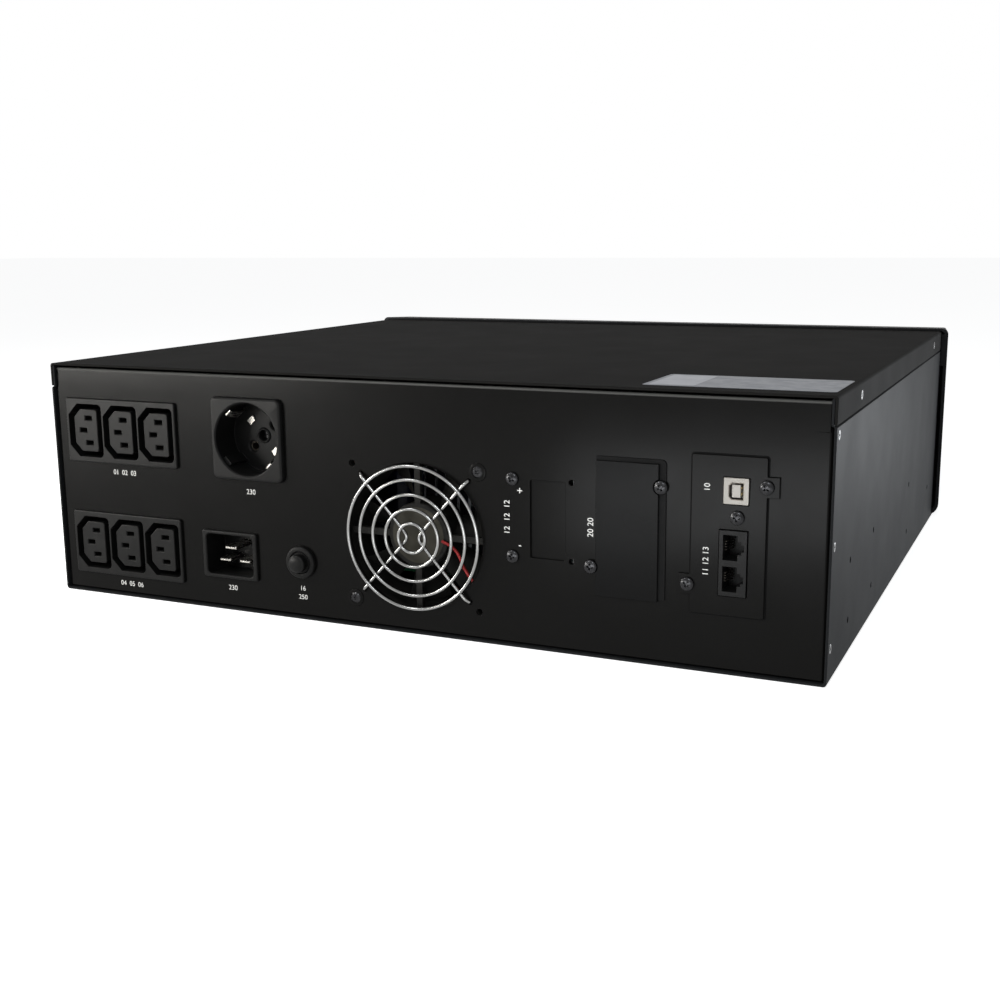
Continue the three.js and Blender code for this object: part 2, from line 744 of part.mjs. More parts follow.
// Row of level slots through a front wall.
function slots(x, { count, length, height, pitch, bottom }, y) {
  return Array.from({ length: count }, (_, step) => bar(x, bottom + step * pitch, length, height, y));
}

function frontBezel() {
  const through = [bezelFront - 1, bezelFront + bezelFace + 1];
  const doorHalf = doorWidth / 2 + drawerDoor.gap;
  const doorRoom = block([drawerX - doorHalf, drawerX + doorHalf], [bezelFront - 1, caseFront + 1],
    [drawerDoor.bottom - drawerDoor.gap, doorTop + drawerDoor.gap]);
  const { width, height, thickness, ledge } = displayWindow;
  const windowSeat = bar(displayX, displayHeight, width + 2 * slipFit, height + 2 * slipFit,
    [bezelFront - 1, bezelFront + thickness]);
  const windowWay = bar(displayX, displayHeight, width - 2 * ledge, height - 2 * ledge, through);
  const buttonWays = pushButtons
    .map(({ across }) => rodY(displayX + across, pushButtonHeight, pushButton.radius + cutFit, through));
  const whole = join([bezelShell(), ledgeBlock(-1), ledgeBlock(1), ...bezelPosts(), ...displayPosts()]);
  return cut(whole, [doorRoom, windowSeat, windowWay, ...buttonWays, ...slots(displayX, frontVent, through)]);
}

function displayLens() {
  const { width, height, thickness } = displayWindow;
  return bar(displayX, displayHeight, width, height, [bezelFront, bezelFront + thickness]);
}

function lcdModule() {
  return bar(displayX, displayHeight, lcd.width, lcd.height,
    [bezelFront + bezelFace + cutFit, bezelFront + displayBoard.setback]);
}

const switchSize = 6;
const switchHeight = 3.6;
const displayBoardFront = bezelFront + displayBoard.setback;

function displayCircuit() {
  const { width, height, thickness, bottom } = displayBoard;
  const plate = bar(displayX, bottom + height / 2, width, height,
    [displayBoardFront, displayBoardFront + thickness]);
  const reach = [displayBoardFront - switchHeight, displayBoardFront + thickness / 2];
  const switches = pushButtons
    .map(({ across }) => bar(displayX + across, pushButtonHeight, switchSize, switchSize, reach));
  return join([plate, ...switches]);
}

// Push button: a cap through the bezel, a flange behind it and a stem to the switch.
function frontButton(across) {
  const x = displayX + across;
  const flangeFront = bezelFront + bezelFace + slipFit;
  const flangeBack = flangeFront + pushButton.flangeDepth;
  const stemEnd = displayBoardFront - switchHeight - pushButton.travel - cutFit;
  const cap = rodY(x, pushButtonHeight, pushButton.radius, [bezelFront - pushButton.proud, flangeBack]);
  const flange = rodY(x, pushButtonHeight, pushButton.flange, [flangeFront, flangeBack]);
  const stem = rodY(x, pushButtonHeight, pushButton.stem, [flangeBack - 1, stemEnd], coarse);
  return join([cap, flange, stem]);
}

function batteryTray() {
  const half = trayOuter / 2;
  const innerHalf = trayInner / 2;
  const doorHalf = doorWidth / 2;
  const front = block([drawerX - doorHalf, drawerX + doorHalf], [trayFront - sheet, trayFront],
    [drawerDoor.bottom, doorTop]);
  const outside = block([drawerX - half, drawerX + half], [trayFront - weld, trayRear],
    [trayBottom, trayBottom + trayWall]);
  const inside = block([drawerX - innerHalf, drawerX + innerHalf], [trayFront, trayRear - sheet],
    [trayBottom + sheet, trayBottom + trayWall + 1]);
  return front.add(outside).subtract(inside);
}

function drawerFront() {
  const half = doorWidth / 2;
  const back = trayFront - sheet;
  const { bottom, wall } = drawerDoor;
  const body = block([drawerX - half, drawerX + half], [bezelFront, back], [bottom, doorTop]);
  const hollow = block([drawerX - half + wall, drawerX + half - wall], [bezelFront + bezelFace, back + 1],
    [bottom + wall, doorTop - wall]);
  const gripTop = grip.bottom + grip.height;
  const cupHalf = grip.width / 2 + grip.wall;
  const cup = block([drawerX - cupHalf, drawerX + cupHalf], [bezelFront, bezelFront + grip.depth + grip.wall],
    [grip.bottom - grip.wall, gripTop + grip.undercut + grip.wall]);
  const mouth = bar(drawerX, (grip.bottom + gripTop) / 2, grip.width, grip.height,
    [bezelFront - 1, bezelFront + grip.depth]);
  const undercut = block([drawerX - grip.width / 2, drawerX + grip.width / 2],
    [bezelFront + grip.lip, bezelFront + grip.depth], [grip.bottom, gripTop + grip.undercut]);
  const slotX0 = doorWidth / 2 - doorSlot.inset;
  const through = [bezelFront - 1, bezelFront + bezelFace + 1];
  const vents = [-slotX0, slotX0].flatMap((across) => slots(drawerX + across, doorSlot, through));
  return cut(cut(body, [hollow]).add(cup), [mouth, undercut, ...vents]);
}

const batteryBottom = trayBottom + sheet;
const batteryTop = batteryBottom + battery.height;
const terminalTop = batteryTop + terminal.height;
const batteryFront = trayFront + batteryGap / 2;

function batteryX(place) {
  return drawerX + (place - (batteryCount - 1) / 2) * (battery.width + batteryGap);
}

function batteryBlock(place) {
  const x = batteryX(place);
  const y = batteryFront + terminal.inset;
  const body = bar(x, (batteryBottom + batteryTop) / 2, battery.width, battery.height,
    [batteryFront, batteryFront + battery.depth]);
  const tabs = [-1, 1].map((side) => {
    const middle = x + side * (battery.width / 2 - terminal.inset);
    return block([middle - terminal.width / 2, middle + terminal.width / 2], [y, y + terminal.length],
      [batteryTop - weld, terminalTop]);
  });
  return join([body, ...tabs]);
}

function batteryLink() {
  const y = batteryFront + terminal.inset + terminal.length / 2;
  const half = (batteryX(batteryCount - 1) - batteryX(0)) / 2 + battery.width / 2 - terminal.inset / 2;
  return block([drawerX - half, drawerX + half], [y - linkBar.width / 2, y + linkBar.width / 2],
    [terminalTop, terminalTop + linkBar.thickness]);
}

function drawerPlug() {
  return bar(drawerX, plug.floor + plug.height / 2, plug.width, plug.height, [trayRear, plugRear]);
}

function drawerReceptacle() {
  return bar(drawerX, plug.floor + plug.height / 2, plug.width, plug.height, [receptacleFront, receptacleRear]);
}

// ---------------------------------------------------------------- power parts

const transformerY = caseFront + transformerSetback;
const coreBottom = floorTop + corePlate.thickness;

function transformerPlate() {
  const halfWidth = corePlate.width / 2;
  const halfDepth = corePlate.depth / 2;
  return block([transformerX - halfWidth, transformerX + halfWidth],
    [transformerY - halfDepth, transformerY + halfDepth], [floorTop, coreBottom]);
}

function transformerCore() {
  const depth = [transformerY - core.depth / 2, transformerY + core.depth / 2];
  const middle = coreBottom + core.height / 2;
  const body = bar(transformerX, middle, core.width, core.height, depth);
  const reach = [depth[0] - 1, depth[1] + 1];
  const windowOffset = (core.leg + core.window) / 2;
  const windows = [-windowOffset, windowOffset]
    .map((across) => bar(transformerX + across, middle, core.window, core.height - 2 * core.yoke, reach));
  return cut(body, windows);
}

function transformerCoil() {
  const halfLeg = core.leg / 2 + coilGap;
  const halfCore = core.depth / 2 + coilGap;
  const build = core.window - 2 * coilGap;
  const height = core.height - 2 * core.yoke - 2 * coilGap;
  const bottom = coreBottom + core.yoke + coilGap;
  const outside = new THREE.Shape(roundedPoints(
    [-halfLeg - build, halfLeg + build],
    [-halfCore - build, halfCore + build],
    [coilCorner, coilCorner, coilCorner, coilCorner], 4));
  outside.holes.push(new THREE.Path(rectangleHole(halfLeg, halfCore)));
  return extrudeZ(outside, [bottom, bottom + height]).translate([transformerX, transformerY, 0]);
}

// Corners of a rectangle, clockwise, for a hole in a shape.
function rectangleHole(halfWidth, halfDepth) {
  return [[-1, -1], [-1, 1], [1, 1], [1, -1]]
    .map(([a, b]) => new THREE.Vector2(a * halfWidth, b * halfDepth));
}

function powerBoard() {
  const half = board.width / 2;
  return block([boardX - half, boardX + half], [boardFront, boardRear], [boardBottom, boardTop]);
}

// Heat sink: upright fins on a root plate.
function heatSink(across) {
  const x = boardX + across;
  const y = [(boardFront + boardRear - sinkSize.depth) / 2, (boardFront + boardRear + sinkSize.depth) / 2];
  const half = sinkSize.width / 2;
  const root = block([x - half, x + half], y, [boardTop, boardTop + sinkSize.root]);
  const pitch = (sinkSize.width - sinkSize.fin) / (sinkSize.fins - 1);
  const fins = Array.from({ length: sinkSize.fins }, (_, step) => {
    const left = x - half + step * pitch;
    return block([left, left + sinkSize.fin], y, [boardTop + sinkSize.root / 2, boardTop + sinkSize.height]);
  });
  return join([root, ...fins]);
}

function busCapacitor(offset) {
  return rodZ(boardX + capacitorAcross, (boardFront + boardRear) / 2 + offset, capacitor.radius,
    [boardTop, boardTop + capacitor.height]);
}

// ---------------------------------------------------------------- fan

const fanBack = panelBack;
const fanFront = fanBack - fanDepth;
const armFace = fanBack - fanArmSink;
const armBack = armFace - fanPlate;
const sleeveEnd = armBack - fanSleeveDepth;

function fanFrame() {
  const half = fanSize / 2;
  const square = new THREE.Shape(roundedPoints(
    [fanX - half, fanX + half],
    [fanHeight - half, fanHeight + half],
    [fanCorner, fanCorner, fanCorner, fanCorner], 2));
  const flanges = [[fanFront, fanFront + fanCorner], [fanBack - fanCorner, fanBack]]
    .map((y) => extrudeY(square, y));
  const duct = rodY(fanX, fanHeight, half, [fanFront + 1, fanBack - 1], fine);
  const bore = rodY(fanX, fanHeight, fanBore, [fanFront - 1, fanBack + 1], fine);
  const holes = fourCorners(fanHole, fanHole)
    .map(([across, up]) => rodY(fanX + across, fanHeight + up, screwHole, [fanFront - 1, fanBack + 1], coarse));
  const ring = cut(join([...flanges, duct]), [bore, ...holes, leadPath(fanLeadRadius + cutFit)]);
  const plate = rodY(fanX, fanHeight, fanHub, [armBack, armFace]);
  const armReach = [fanHub - 1, fanBore + fanWall / 2];
  const arms = [0, 90, 180, 270].map((angle) => turned(
    block([fanX + armReach[0], fanX + armReach[1]], [armBack, armFace],
      [fanHeight - fanArm / 2, fanHeight + fanArm / 2]), angle, fanX, fanHeight));
  const sleeve = rodY(fanX, fanHeight, fanSleeve, [sleeveEnd, armFace - 1]);
  const bearing = rodY(fanX, fanHeight, fanShaft + slipFit, [sleeveEnd - 1, armFace - 1], coarse);
  return join([ring, plate, ...arms, sleeve]).subtract(bearing);
}

// Blade: a twisted strip from hub to tip, rising as it sweeps round.
function fanBlade(start, [yLow, yHigh]) {
  const steps = 4;
  const tip = fanBore - fanGap;
  const rings = [];
  for (let step = 0; step <= steps; step++) {
    const share = step / steps;
    const angle = THREE.MathUtils.degToRad(start + fanBladeSweep * share);
    const y = yLow + (yHigh - yLow) * share;
    const corner = (radius, lift) => new THREE.Vector3(fanX + radius * Math.cos(angle), y + lift,
      fanHeight + radius * Math.sin(angle));
    const root = fanHub - 1;
    const half = fanBladeThickness / 2;
    rings.push([corner(root, -half), corner(tip, -half), corner(tip, half), corner(root, half)]);
  }
  return skin(rings, [[0, 1, 2], [0, 2, 3]]);
}

function fanRotor() {
  const cupFront = fanFront + fanGap;
  const cupBack = armBack - fanGap;
  const cup = rodY(fanX, fanHeight, fanHub, [cupFront, cupBack]);
  const hollow = rodY(fanX, fanHeight, fanHub - fanCupWall, [cupFront + fanCupWall, cupBack + 1]);
  const shaft = rodY(fanX, fanHeight, fanShaft, [cupFront + fanCupWall / 2, armFace - 2], coarse);
  const depth = [cupFront + fanGap, cupBack - fanGap];
  const blades = Array.from({ length: fanBlades }, (_, place) => fanBlade(360 * place / fanBlades, depth));
  const open = cut(join([cup, ...blades]), [hollow]);
  return open.add(shaft);
}

// Route of the fan's lead: from the motor plate along an arm, out by a notch and down to the board.
function leadPath(radius) {
  const y = armFace + fanLeadRadius + cutFit;
  const half = fanSize / 2;
  const route = [
    [fanX - fanHub + 3, y, fanHeight - 1.5],
    [fanX - fanHub - 4, y, fanHeight - 5],
    [fanX - 28, y, fanHeight - 17],
    [fanX - 34, y, fanHeight - 23],
    [fanX - half + 1, y, fanHeight - 25.5],
    [fanX - half - 3, y - 2, fanHeight - 27],
    [fanX - half - 4, y - 7, fanHeight - 29],
    [fanX - half - 4, y - 20, fanHeight - 33],
    [fanX - half - 3, boardRear + 16, boardTop + 5],
    [fanX - half - 2, boardRear + 2, boardTop + 3],
    [fanX - half - 2, boardRear - 8, boardTop + fanLeadRadius + cutFit],
  ];
  return tube(route, radius, 30, 6);
}

function fanGuard() {
  const y = panelFace + guardStand;
  const rings = guardRings.map((radius) => {
    const geometry = new THREE.TorusGeometry(radius, guardWire, 6, ringSteps);
    geometry.rotateX(Math.PI / 2);
    geometry.translate(fanX, y + guardWeld, fanHeight);
    return solid(geometry);
  });
  const { across, up } = guardFoot;
  const wires = [-1, 1].map((side) => tube([
    [fanX + side * across, panelBack + cutFit, fanHeight + up],
    [fanX + side * across, panelFace + 0.4, fanHeight + up],
    [fanX + side * (across - 1.5), y, fanHeight + up - 1.5],
    [fanX + side * (guardApex + 4.5), y, fanHeight + 5.5],
    [fanX + side * guardApex, y, fanHeight],
    [fanX + side * (guardApex + 4.5), y, fanHeight - 5.5],
    [fanX + side * (across - 1.5), y, fanHeight - up + 1.5],
    [fanX + side * across, panelFace + 0.4, fanHeight - up],
    [fanX + side * across, panelBack + cutFit, fanHeight - up],
  ], guardWire, Math.round(fanSize / guardStep), 6));
  return join([...rings, ...wires]);
}

// ---------------------------------------------------------------- sockets and breaker

// Outlet outline: two corners cut off on the earth side, two rounded.
function outletOutline({ width, height, chamfer, radius }, x, z) {
  const shape = new THREE.Shape();
  const [left, right] = [x - width / 2, x + width / 2];
  const [low, high] = [z - height / 2, z + height / 2];
  shape.moveTo(left + radius, low);
  shape.lineTo(right - chamfer, low);
  shape.lineTo(right, low + chamfer);
  shape.lineTo(right, high - chamfer);
  shape.lineTo(right - chamfer, high);
  shape.lineTo(left + radius, high);
  shape.absarc(left + radius, high - radius, radius, Math.PI / 2, Math.PI, false);
  shape.lineTo(left, low + radius);
  shape.absarc(left + radius, low + radius, radius, Math.PI, 1.5 * Math.PI, false);
  return shape;
}

function outletBank(z) {
  const face = panelFace + outletFlange.proud;
  const body = bar(outletX, z, outletBody.width, outletBody.height,
    [panelFace - outletBody.depth, panelFace + 1]);
  const flange = bevelledFlange(outletX, z, outletFlange.width, outletFlange.height, panelFace,
    outletFlange.proud, outletFlange.bevel);
  const cutters = [];
  const plugs = [];
  for (let place = 0; place < outletCount; place++) {
    const x = outletX + (place - (outletCount - 1) / 2) * outletPitch;
    cutters.push(extrudeY(outletOutline(outletMouth, x, z), [face - outletDepth, face + 1]));
    const plugFace = face - outletPlug.sink;
    const insert = extrudeY(outletOutline(outletPlug, x, z), [face - outletDepth - 1, plugFace]);
    const slotReach = [plugFace - contactSlot.depth, face];
    const slotCuts = [[contactOffset.pole, 0], [-contactOffset.pole, contactOffset.rise],
      [-contactOffset.pole, -contactOffset.rise]]
      .map(([across, up]) => bar(x + across, z + up, contactSlot.width, contactSlot.height, slotReach));
    plugs.push(cut(insert, slotCuts));
  }
  return join([cut(flange.add(body), cutters), ...plugs]);
}

const roundFace = panelFace + roundFlange.proud;
const roundFloor = roundFace - roundRecess.depth;

function roundOutlet() {
  const flange = bevelledFlange(roundX, roundHeight, roundFlange.size, roundFlange.size, panelFace,
    roundFlange.proud, roundFlange.bevel);
  const body = rodY(roundX, roundHeight, roundBody.radius, [panelFace - roundBody.depth, panelFace + 1], fine);
  const recess = rodY(roundX, roundHeight, roundRecess.radius, [roundFloor, roundFace + 1], fine);
  const pinReach = [roundFloor - roundPin.depth, roundFloor + 1];
  const pinHoles = [0, 180].map((angle) => turned(
    rodY(roundX + roundPin.spacing / 2, roundHeight, roundPin.radius, pinReach),
    angle + roundTilt, roundX, roundHeight));
  const ribReach = [roundRecess.radius - roundRib.height, roundRecess.radius + 1];
  const ribs = [0, 180].map((angle) => turned(
    block([roundX + ribReach[0], roundX + ribReach[1]], [roundFloor - 1, roundFace - roundRib.setback],
      [roundHeight - roundRib.width / 2, roundHeight + roundRib.width / 2]),
    angle + roundTilt, roundX, roundHeight));
  return cut(join([cut(flange.add(body), [recess]), ...ribs]), pinHoles);
}

// Sprung earth contact beside the recess wall, bowed towards the plug.
function roundEarthClip(angle) {
  const { width, thickness, reach } = earthClip;
  const foot = roundRecess.radius - cutFit - thickness;
  const [low, high] = [roundFloor + cutFit, roundFace - roundRib.setback];
  const middle = (low + high) / 2;
  const inner = [[foot, low], [foot - reach, middle], [foot - reach, middle + 2], [foot - 0.4, high]];
  const outer = inner.map(([radius, y]) => [radius + thickness, y]).reverse();
  const strip = outline([...inner, ...outer]);
  return turned(extrudeZ(strip, [-width / 2, width / 2]).translate([roundX, 0, roundHeight]),
    angle, roundX, roundHeight);
}

function inletHousing() {
  const face = panelFace + inletFlange.proud;
  const floor = face - inletCavity.depth;
  const back = panelFace - inletBody.depth;
  const flange = bevelledFlange(inletX, inletHeight, inletFlange.width, inletFlange.height, panelFace,
    inletFlange.proud, inletFlange.bevel);
  const body = bar(inletX, inletHeight, inletBody.width, inletBody.height, [back, panelFace + 1]);
  const cavity = bar(inletX, inletHeight, inletCavity.width, inletCavity.height, [floor, face + 1]);
  const ways = bladeLayout.map(({ across, up }) => bar(inletX + across, inletHeight + up,
    blade.width / 2 + 2 * cutFit, blade.thickness + 2 * cutFit, [back - 1, floor + 1]));
  return cut(flange.add(body), [cavity, ...ways]);
}

// Blade of the inlet: broad in the cavity, narrower where it passes through the floor.
function inletBlade({ across, up, setback }) {
  const face = panelFace + inletFlange.proud;
  const floor = face - inletCavity.depth;
  const back = panelFace - inletBody.depth;
  const x = inletX + across;
  const z = inletHeight + up;
  const front = bar(x, z, blade.width, blade.thickness, [floor, face - setback]);
  const tail = bar(x, z, blade.width / 2, blade.thickness, [back - blade.tail, floor + 1]);
  return front.add(tail);
}

function breakerCase() {
  const body = bar(breakerX, breakerHeight, breakerBody.width, breakerBody.height,
    [panelBack - breakerBody.depth, panelBack]);
  const neck = rodY(breakerX, breakerHeight, breakerNeck, [panelBack - 1, panelFace + neckProud]);
  const way = rodY(breakerX, breakerHeight, breakerButton.stem + cutFit,
    [panelFace - breakerButton.stemLength - 1, panelFace + neckProud + 1]);
  return cut(body.add(neck), [way]);
}

function breakerRing() {
  const { radius, thickness } = breakerNut;
  const profile = [
    [breakerNeck + cutFit, 0],
    [radius, 0],
    [radius, thickness - 0.9],
    [radius - 0.9, thickness],
    [breakerNeck + cutFit, thickness],
    [breakerNeck + cutFit, 0],
  ].map(([r, y]) => new THREE.Vector2(r, y));
  return solid(new THREE.LatheGeometry(profile, medium)).translate([breakerX, panelFace, breakerHeight]);
}

function breakerReset() {
  const { radius, stem, proud, dome, stemLength } = breakerButton;
  const low = neckProud + 2 * cutFit;
  const profile = [
    [0, -stemLength],
    [stem, -stemLength],
    [stem, low],
    [radius, low],
    [radius, proud - dome],
    [radius * 0.72, proud - dome * 0.3],
    [radius * 0.3, proud],
    [0, proud],
  ].map(([r, y]) => new THREE.Vector2(r, y));
  return solid(new THREE.LatheGeometry(profile, medium)).translate([breakerX, panelFace, breakerHeight]);
}

// ---------------------------------------------------------------- plates and ports

function portBlank() {
  const plate = bar(portX, portHeight, portPlate.width, portPlate.height, [panelBack - sheet, panelBack]);
  const holes = [1, -1].flatMap((side) => [
    rodY(portX + portScrew.across, portHeight + side * portScrew.rise, screwHole,
      [panelBack - sheet - 1, panelBack + 1], coarse),
    rodY(portX - portStudHole.across, portHeight + side * portScrew.rise, portStudHole.radius,
      [panelBack - sheet - 1, panelBack + 1], coarse),
  ]);
  return cut(plate, holes);
}

// Cover over the card slot: a raised plate with a lower step along its -X edge.
function slotPlate() {
  const { width, height, proud, step } = slotCover;
  const main = bar(slotX, slotHeight, width, height, [panelFace, panelFace + proud]);
  const edge = [slotX - width / 2 - step, slotX - width / 2 + 1];
  const lowFace = panelFace + proud / 2;
  const low = block(edge, [panelFace, lowFace], [slotHeight - height / 2 + 1, slotHeight + height / 2]);
  const holes = slotScrews.map(({ across, up }) => rodY(slotX + across, slotHeight + up, screwHole,
    [panelFace - 1, panelFace + proud + 1], coarse));
  const seats = slotScrews.map(({ across, up }) => rodY(slotX + across, slotHeight + up, screwHead + cutFit,
    [lowFace, panelFace + proud + 1]));
  const lugs = slotScrews.filter(({ across }) => across > 0)
    .map(({ across, up }) => rodY(slotX + across, slotHeight + up, screwHead, [panelFace, lowFace]));
  return cut(join([main, low, ...lugs]), [...seats, ...holes]);
}

// Sheet channel that guides a card into the slot.
function cardCage() {
  const { depth, wall, width, height } = cage;
  const back = panelBack;
  const outside = bar(slotX, slotHeight, width, height, [back - depth, back]);
  const inside = block([slotX - width / 2 + wall, slotX + width / 2 - wall], [back - depth - 1, back + 1],
    [slotHeight - height / 2 + wall, slotHeight + height / 2 - wall]);
  return cut(outside, [inside]);
}

const commFace = panelFace + commPlate.thickness;

function commFacePlate() {
  const y = [panelFace, commFace];
  const plate = bar(commX, commHeight, commPlate.width, commPlate.height, y);
  const reach = commPlate.width / 2 + commTab.reach;
  const tabs = commScrews.map(({ across, up }) => {
    const outer = commX + Math.sign(across) * reach;
    const sides = [commX, outer].sort((a, b) => a - b);
    return block(sides, y, [commHeight + up - commTab.height / 2, commHeight + up + commTab.height / 2]);
  });
  const reachY = [panelFace - 1, commFace + 1];
  const windowFor = ({ across, up, width, height }) => bar(commX + across, commHeight + up,
    width + 2 * cutFit, height + 2 * cutFit, reachY);
  const holes = [...commScrews, commFixing].map(({ across, up }) => rodY(commX + across, commHeight + up,
    screwHole, reachY, coarse));
  return cut(join([plate, ...tabs]), [windowFor(usb), windowFor(jack), ...holes]);
}

// The board stands edge-on behind the plate, on the +X side of the ports.
const commBoardX = commX + jack.across + jack.width / 2;

function commCircuit() {
  const { depth, thickness, height } = commBoard;
  return block([commBoardX, commBoardX + thickness], [panelBack - depth, panelBack - cutFit],
    [commHeight - height / 2, commHeight + height / 2]);
}

function usbPort() {
  const x = commX + usb.across;
  const z = commHeight + usb.up;
  const face = commFace + usb.proud;
  const body = block([x - usb.width / 2, commBoardX], [face - usb.depth, panelBack - cutFit],
    [z - usb.height / 2, z + usb.height / 2]);
  const nose = bar(x, z, usb.width, usb.height, [face - usb.depth, face]);
  const mouth = bar(x, z, usbMouth.width, usbMouth.height, [face - usbMouth.depth, face + 1]);
  const tongue = bar(x, z, usbMouth.tongueWidth, usbMouth.tongueHeight, [face - usbMouth.depth - 1, face - 1]);
  return cut(body.add(nose), [mouth]).add(tongue);
}

function modemJacks() {
  const x = commX + jack.across;
  const z = commHeight + jack.up;
  const face = commFace + jack.proud;
  const body = bar(x, z, jack.width, jack.height, [face - jack.depth, face]);
  const mouths = [-1, 1].flatMap((side) => {
    const middle = z + side * jackMouth.rise;
    const right = x + jackMouth.shift - jackMouth.width / 2;
    const reach = [face - jackMouth.depth, face + 1];
    const latch = block([right - jackLatch.width, right + 1], reach,
      [middle - jackLatch.height / 2, middle + jackLatch.height / 2]);
    const key = block([right - jackLatch.width - jackLatch.keyWidth, right + 1], reach,
      [middle - jackLatch.keyHeight / 2, middle + jackLatch.keyHeight / 2]);
    return [bar(x + jackMouth.shift, middle, jackMouth.width, jackMouth.height, reach), latch, key];
  });
  return cut(body, mouths);
}

// Angle that fixes the board to the plate, between the two ports.
function commAngle() {
  const { height, thickness, depth } = commBracket;
  const z = [commHeight + commFixing.up - height / 2, commHeight + commFixing.up + height / 2];
  const left = commX + commFixing.across - height / 2;
  const toPlate = block([left, commBoardX], [panelFace - thickness, panelFace], z);
  const toBoard = block([commBoardX - thickness, commBoardX], [panelFace - depth, panelFace], z);
  const hole = rodY(commX + commFixing.across, commHeight + commFixing.up, screwHole,
    [panelFace - thickness - 1, panelFace + 1], coarse);
  return cut(toPlate.add(toBoard), [hole]);
}

// Pan-head screw, its head on a face.
function panScrew(x, z, face) {
  const profile = [
    [0, -screwLength],
    [screwShank, -screwLength],
    [screwShank, 0],
    [screwHead, 0],
    [screwHead, screwHeadHeight * 0.45],
    [screwHead * 0.6, screwHeadHeight],
    [0, screwHeadHeight],
  ].map(([r, y]) => new THREE.Vector2(r, y));
  return solid(new THREE.LatheGeometry(profile, coarse)).translate([x, face, z]);
}

// ---------------------------------------------------------------- assembly

part('chassis_base', chassisBase(), finishes.paintedSteel);
part('top_cover', topCover(), finishes.paintedSteel);
part('rear_panel', rearPanel(), finishes.panelPaint);
part('front_frame', frontFrame(), finishes.paintedSteel);
part('front_bezel', frontBezel(), finishes.bezelPlastic);
part('display_window', displayLens(), finishes.darkGlass);
part('lcd_module', lcdModule(), finishes.displayGlass);
part('display_board', displayCircuit(), finishes.circuitBoard);
for (const { name, across } of pushButtons) part(name, frontButton(across), finishes.blackPlastic);

part('battery_tray', batteryTray(), finishes.zincSteel);
part('drawer_front', drawerFront(), finishes.bezelPlastic);
for (let place = 0; place < batteryCount; place++) {
  part(`battery_${place + 1}`, batteryBlock(place), finishes.batteryCase);
}
part('battery_link_bar', batteryLink(), finishes.blackPlastic);
part('drawer_plug', drawerPlug(), finishes.blackPlastic);
part('drawer_receptacle', drawerReceptacle(), finishes.blackPlastic);

part('transformer_plate', transformerPlate(), finishes.zincSteel);
part('transformer_core', transformerCore(), finishes.lamination);
part('transformer_coil', transformerCoil(), finishes.copperWinding);
part('power_board', powerBoard(), finishes.circuitBoard);
sinkOffsets.forEach((across, place) => part(`heat_sink_${place + 1}`, heatSink(across), finishes.aluminium));
capacitorOffsets.forEach((offset, place) => {
  part(`bus_capacitor_${place + 1}`, busCapacitor(offset), finishes.capacitorSleeve);
});

part('fan_frame', fanFrame(), finishes.blackPlastic);
part('fan_rotor', fanRotor(), finishes.blackPlastic);
part('fan_guard', fanGuard(), finishes.chrome);
part('fan_lead', leadPath(fanLeadRadius), finishes.redLead);

for (const [place, z] of Object.entries(outletHeights)) {
  part(`outlet_bank_${place}`, outletBank(z), finishes.blackPlastic);
}
part('round_outlet', roundOutlet(), finishes.blackPlastic);
part('round_earth_clip_upper', roundEarthClip(roundTilt + 90), finishes.nickel);
part('round_earth_clip_lower', roundEarthClip(roundTilt - 90), finishes.nickel);
part('inlet_housing', inletHousing(), finishes.blackPlastic);
for (const layout of bladeLayout) part(layout.name, inletBlade(layout), finishes.nickel);
part('breaker_body', breakerCase(), finishes.blackPlastic);
part('breaker_nut', breakerRing(), finishes.blackPlastic);
part('breaker_button', breakerReset(), finishes.blackPlastic);

part('port_blank', portBlank(), finishes.panelPaint);
part('slot_cover', slotPlate(), finishes.panelPaint);
part('card_cage', cardCage(), finishes.zincSteel);
part('comm_plate', commFacePlate(), finishes.panelPaint);
part('comm_board', commCircuit(), finishes.circuitBoard);
part('usb_port', usbPort(), finishes.creamPlastic);
part('modem_jacks', modemJacks(), finishes.blackPlastic);
part('comm_bracket', commAngle(), finishes.zincSteel);

for (const [place, side] of [['upper', 1], ['lower', -1]]) {
  const screw = panScrew(portX + portScrew.across, portHeight + side * portScrew.rise, panelFace);
  part(`port_screw_${place}`, screw, finishes.blackScrew);
}
for (const { name, across, up } of slotScrews) {
  part(name, panScrew(slotX + across, slotHeight + up, panelFace + slotCover.proud / 2), finishes.blackScrew);
}
for (const { name, across, up } of commScrews) {
  part(name, panScrew(commX + across, commHeight + up, commFace), finishes.blackScrew);
}
part('comm_fixing_screw', panScrew(commX + commFixing.across, commHeight + commFixing.up, commFace),
  finishes.blackScrew);

export default unit;
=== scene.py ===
"""Rackmount uninterruptible power supply: the looks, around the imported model.

Shapes are worked out in millimetres from the frame's nodes and scaled to metres as they are finished.
Row frame: +Z up, the socket panel faces +Y and the bezel faces -Y, so seen from behind +X is on the left.
"""
import math
import random

import bmesh
import bpy
from mathutils import Matrix, Vector


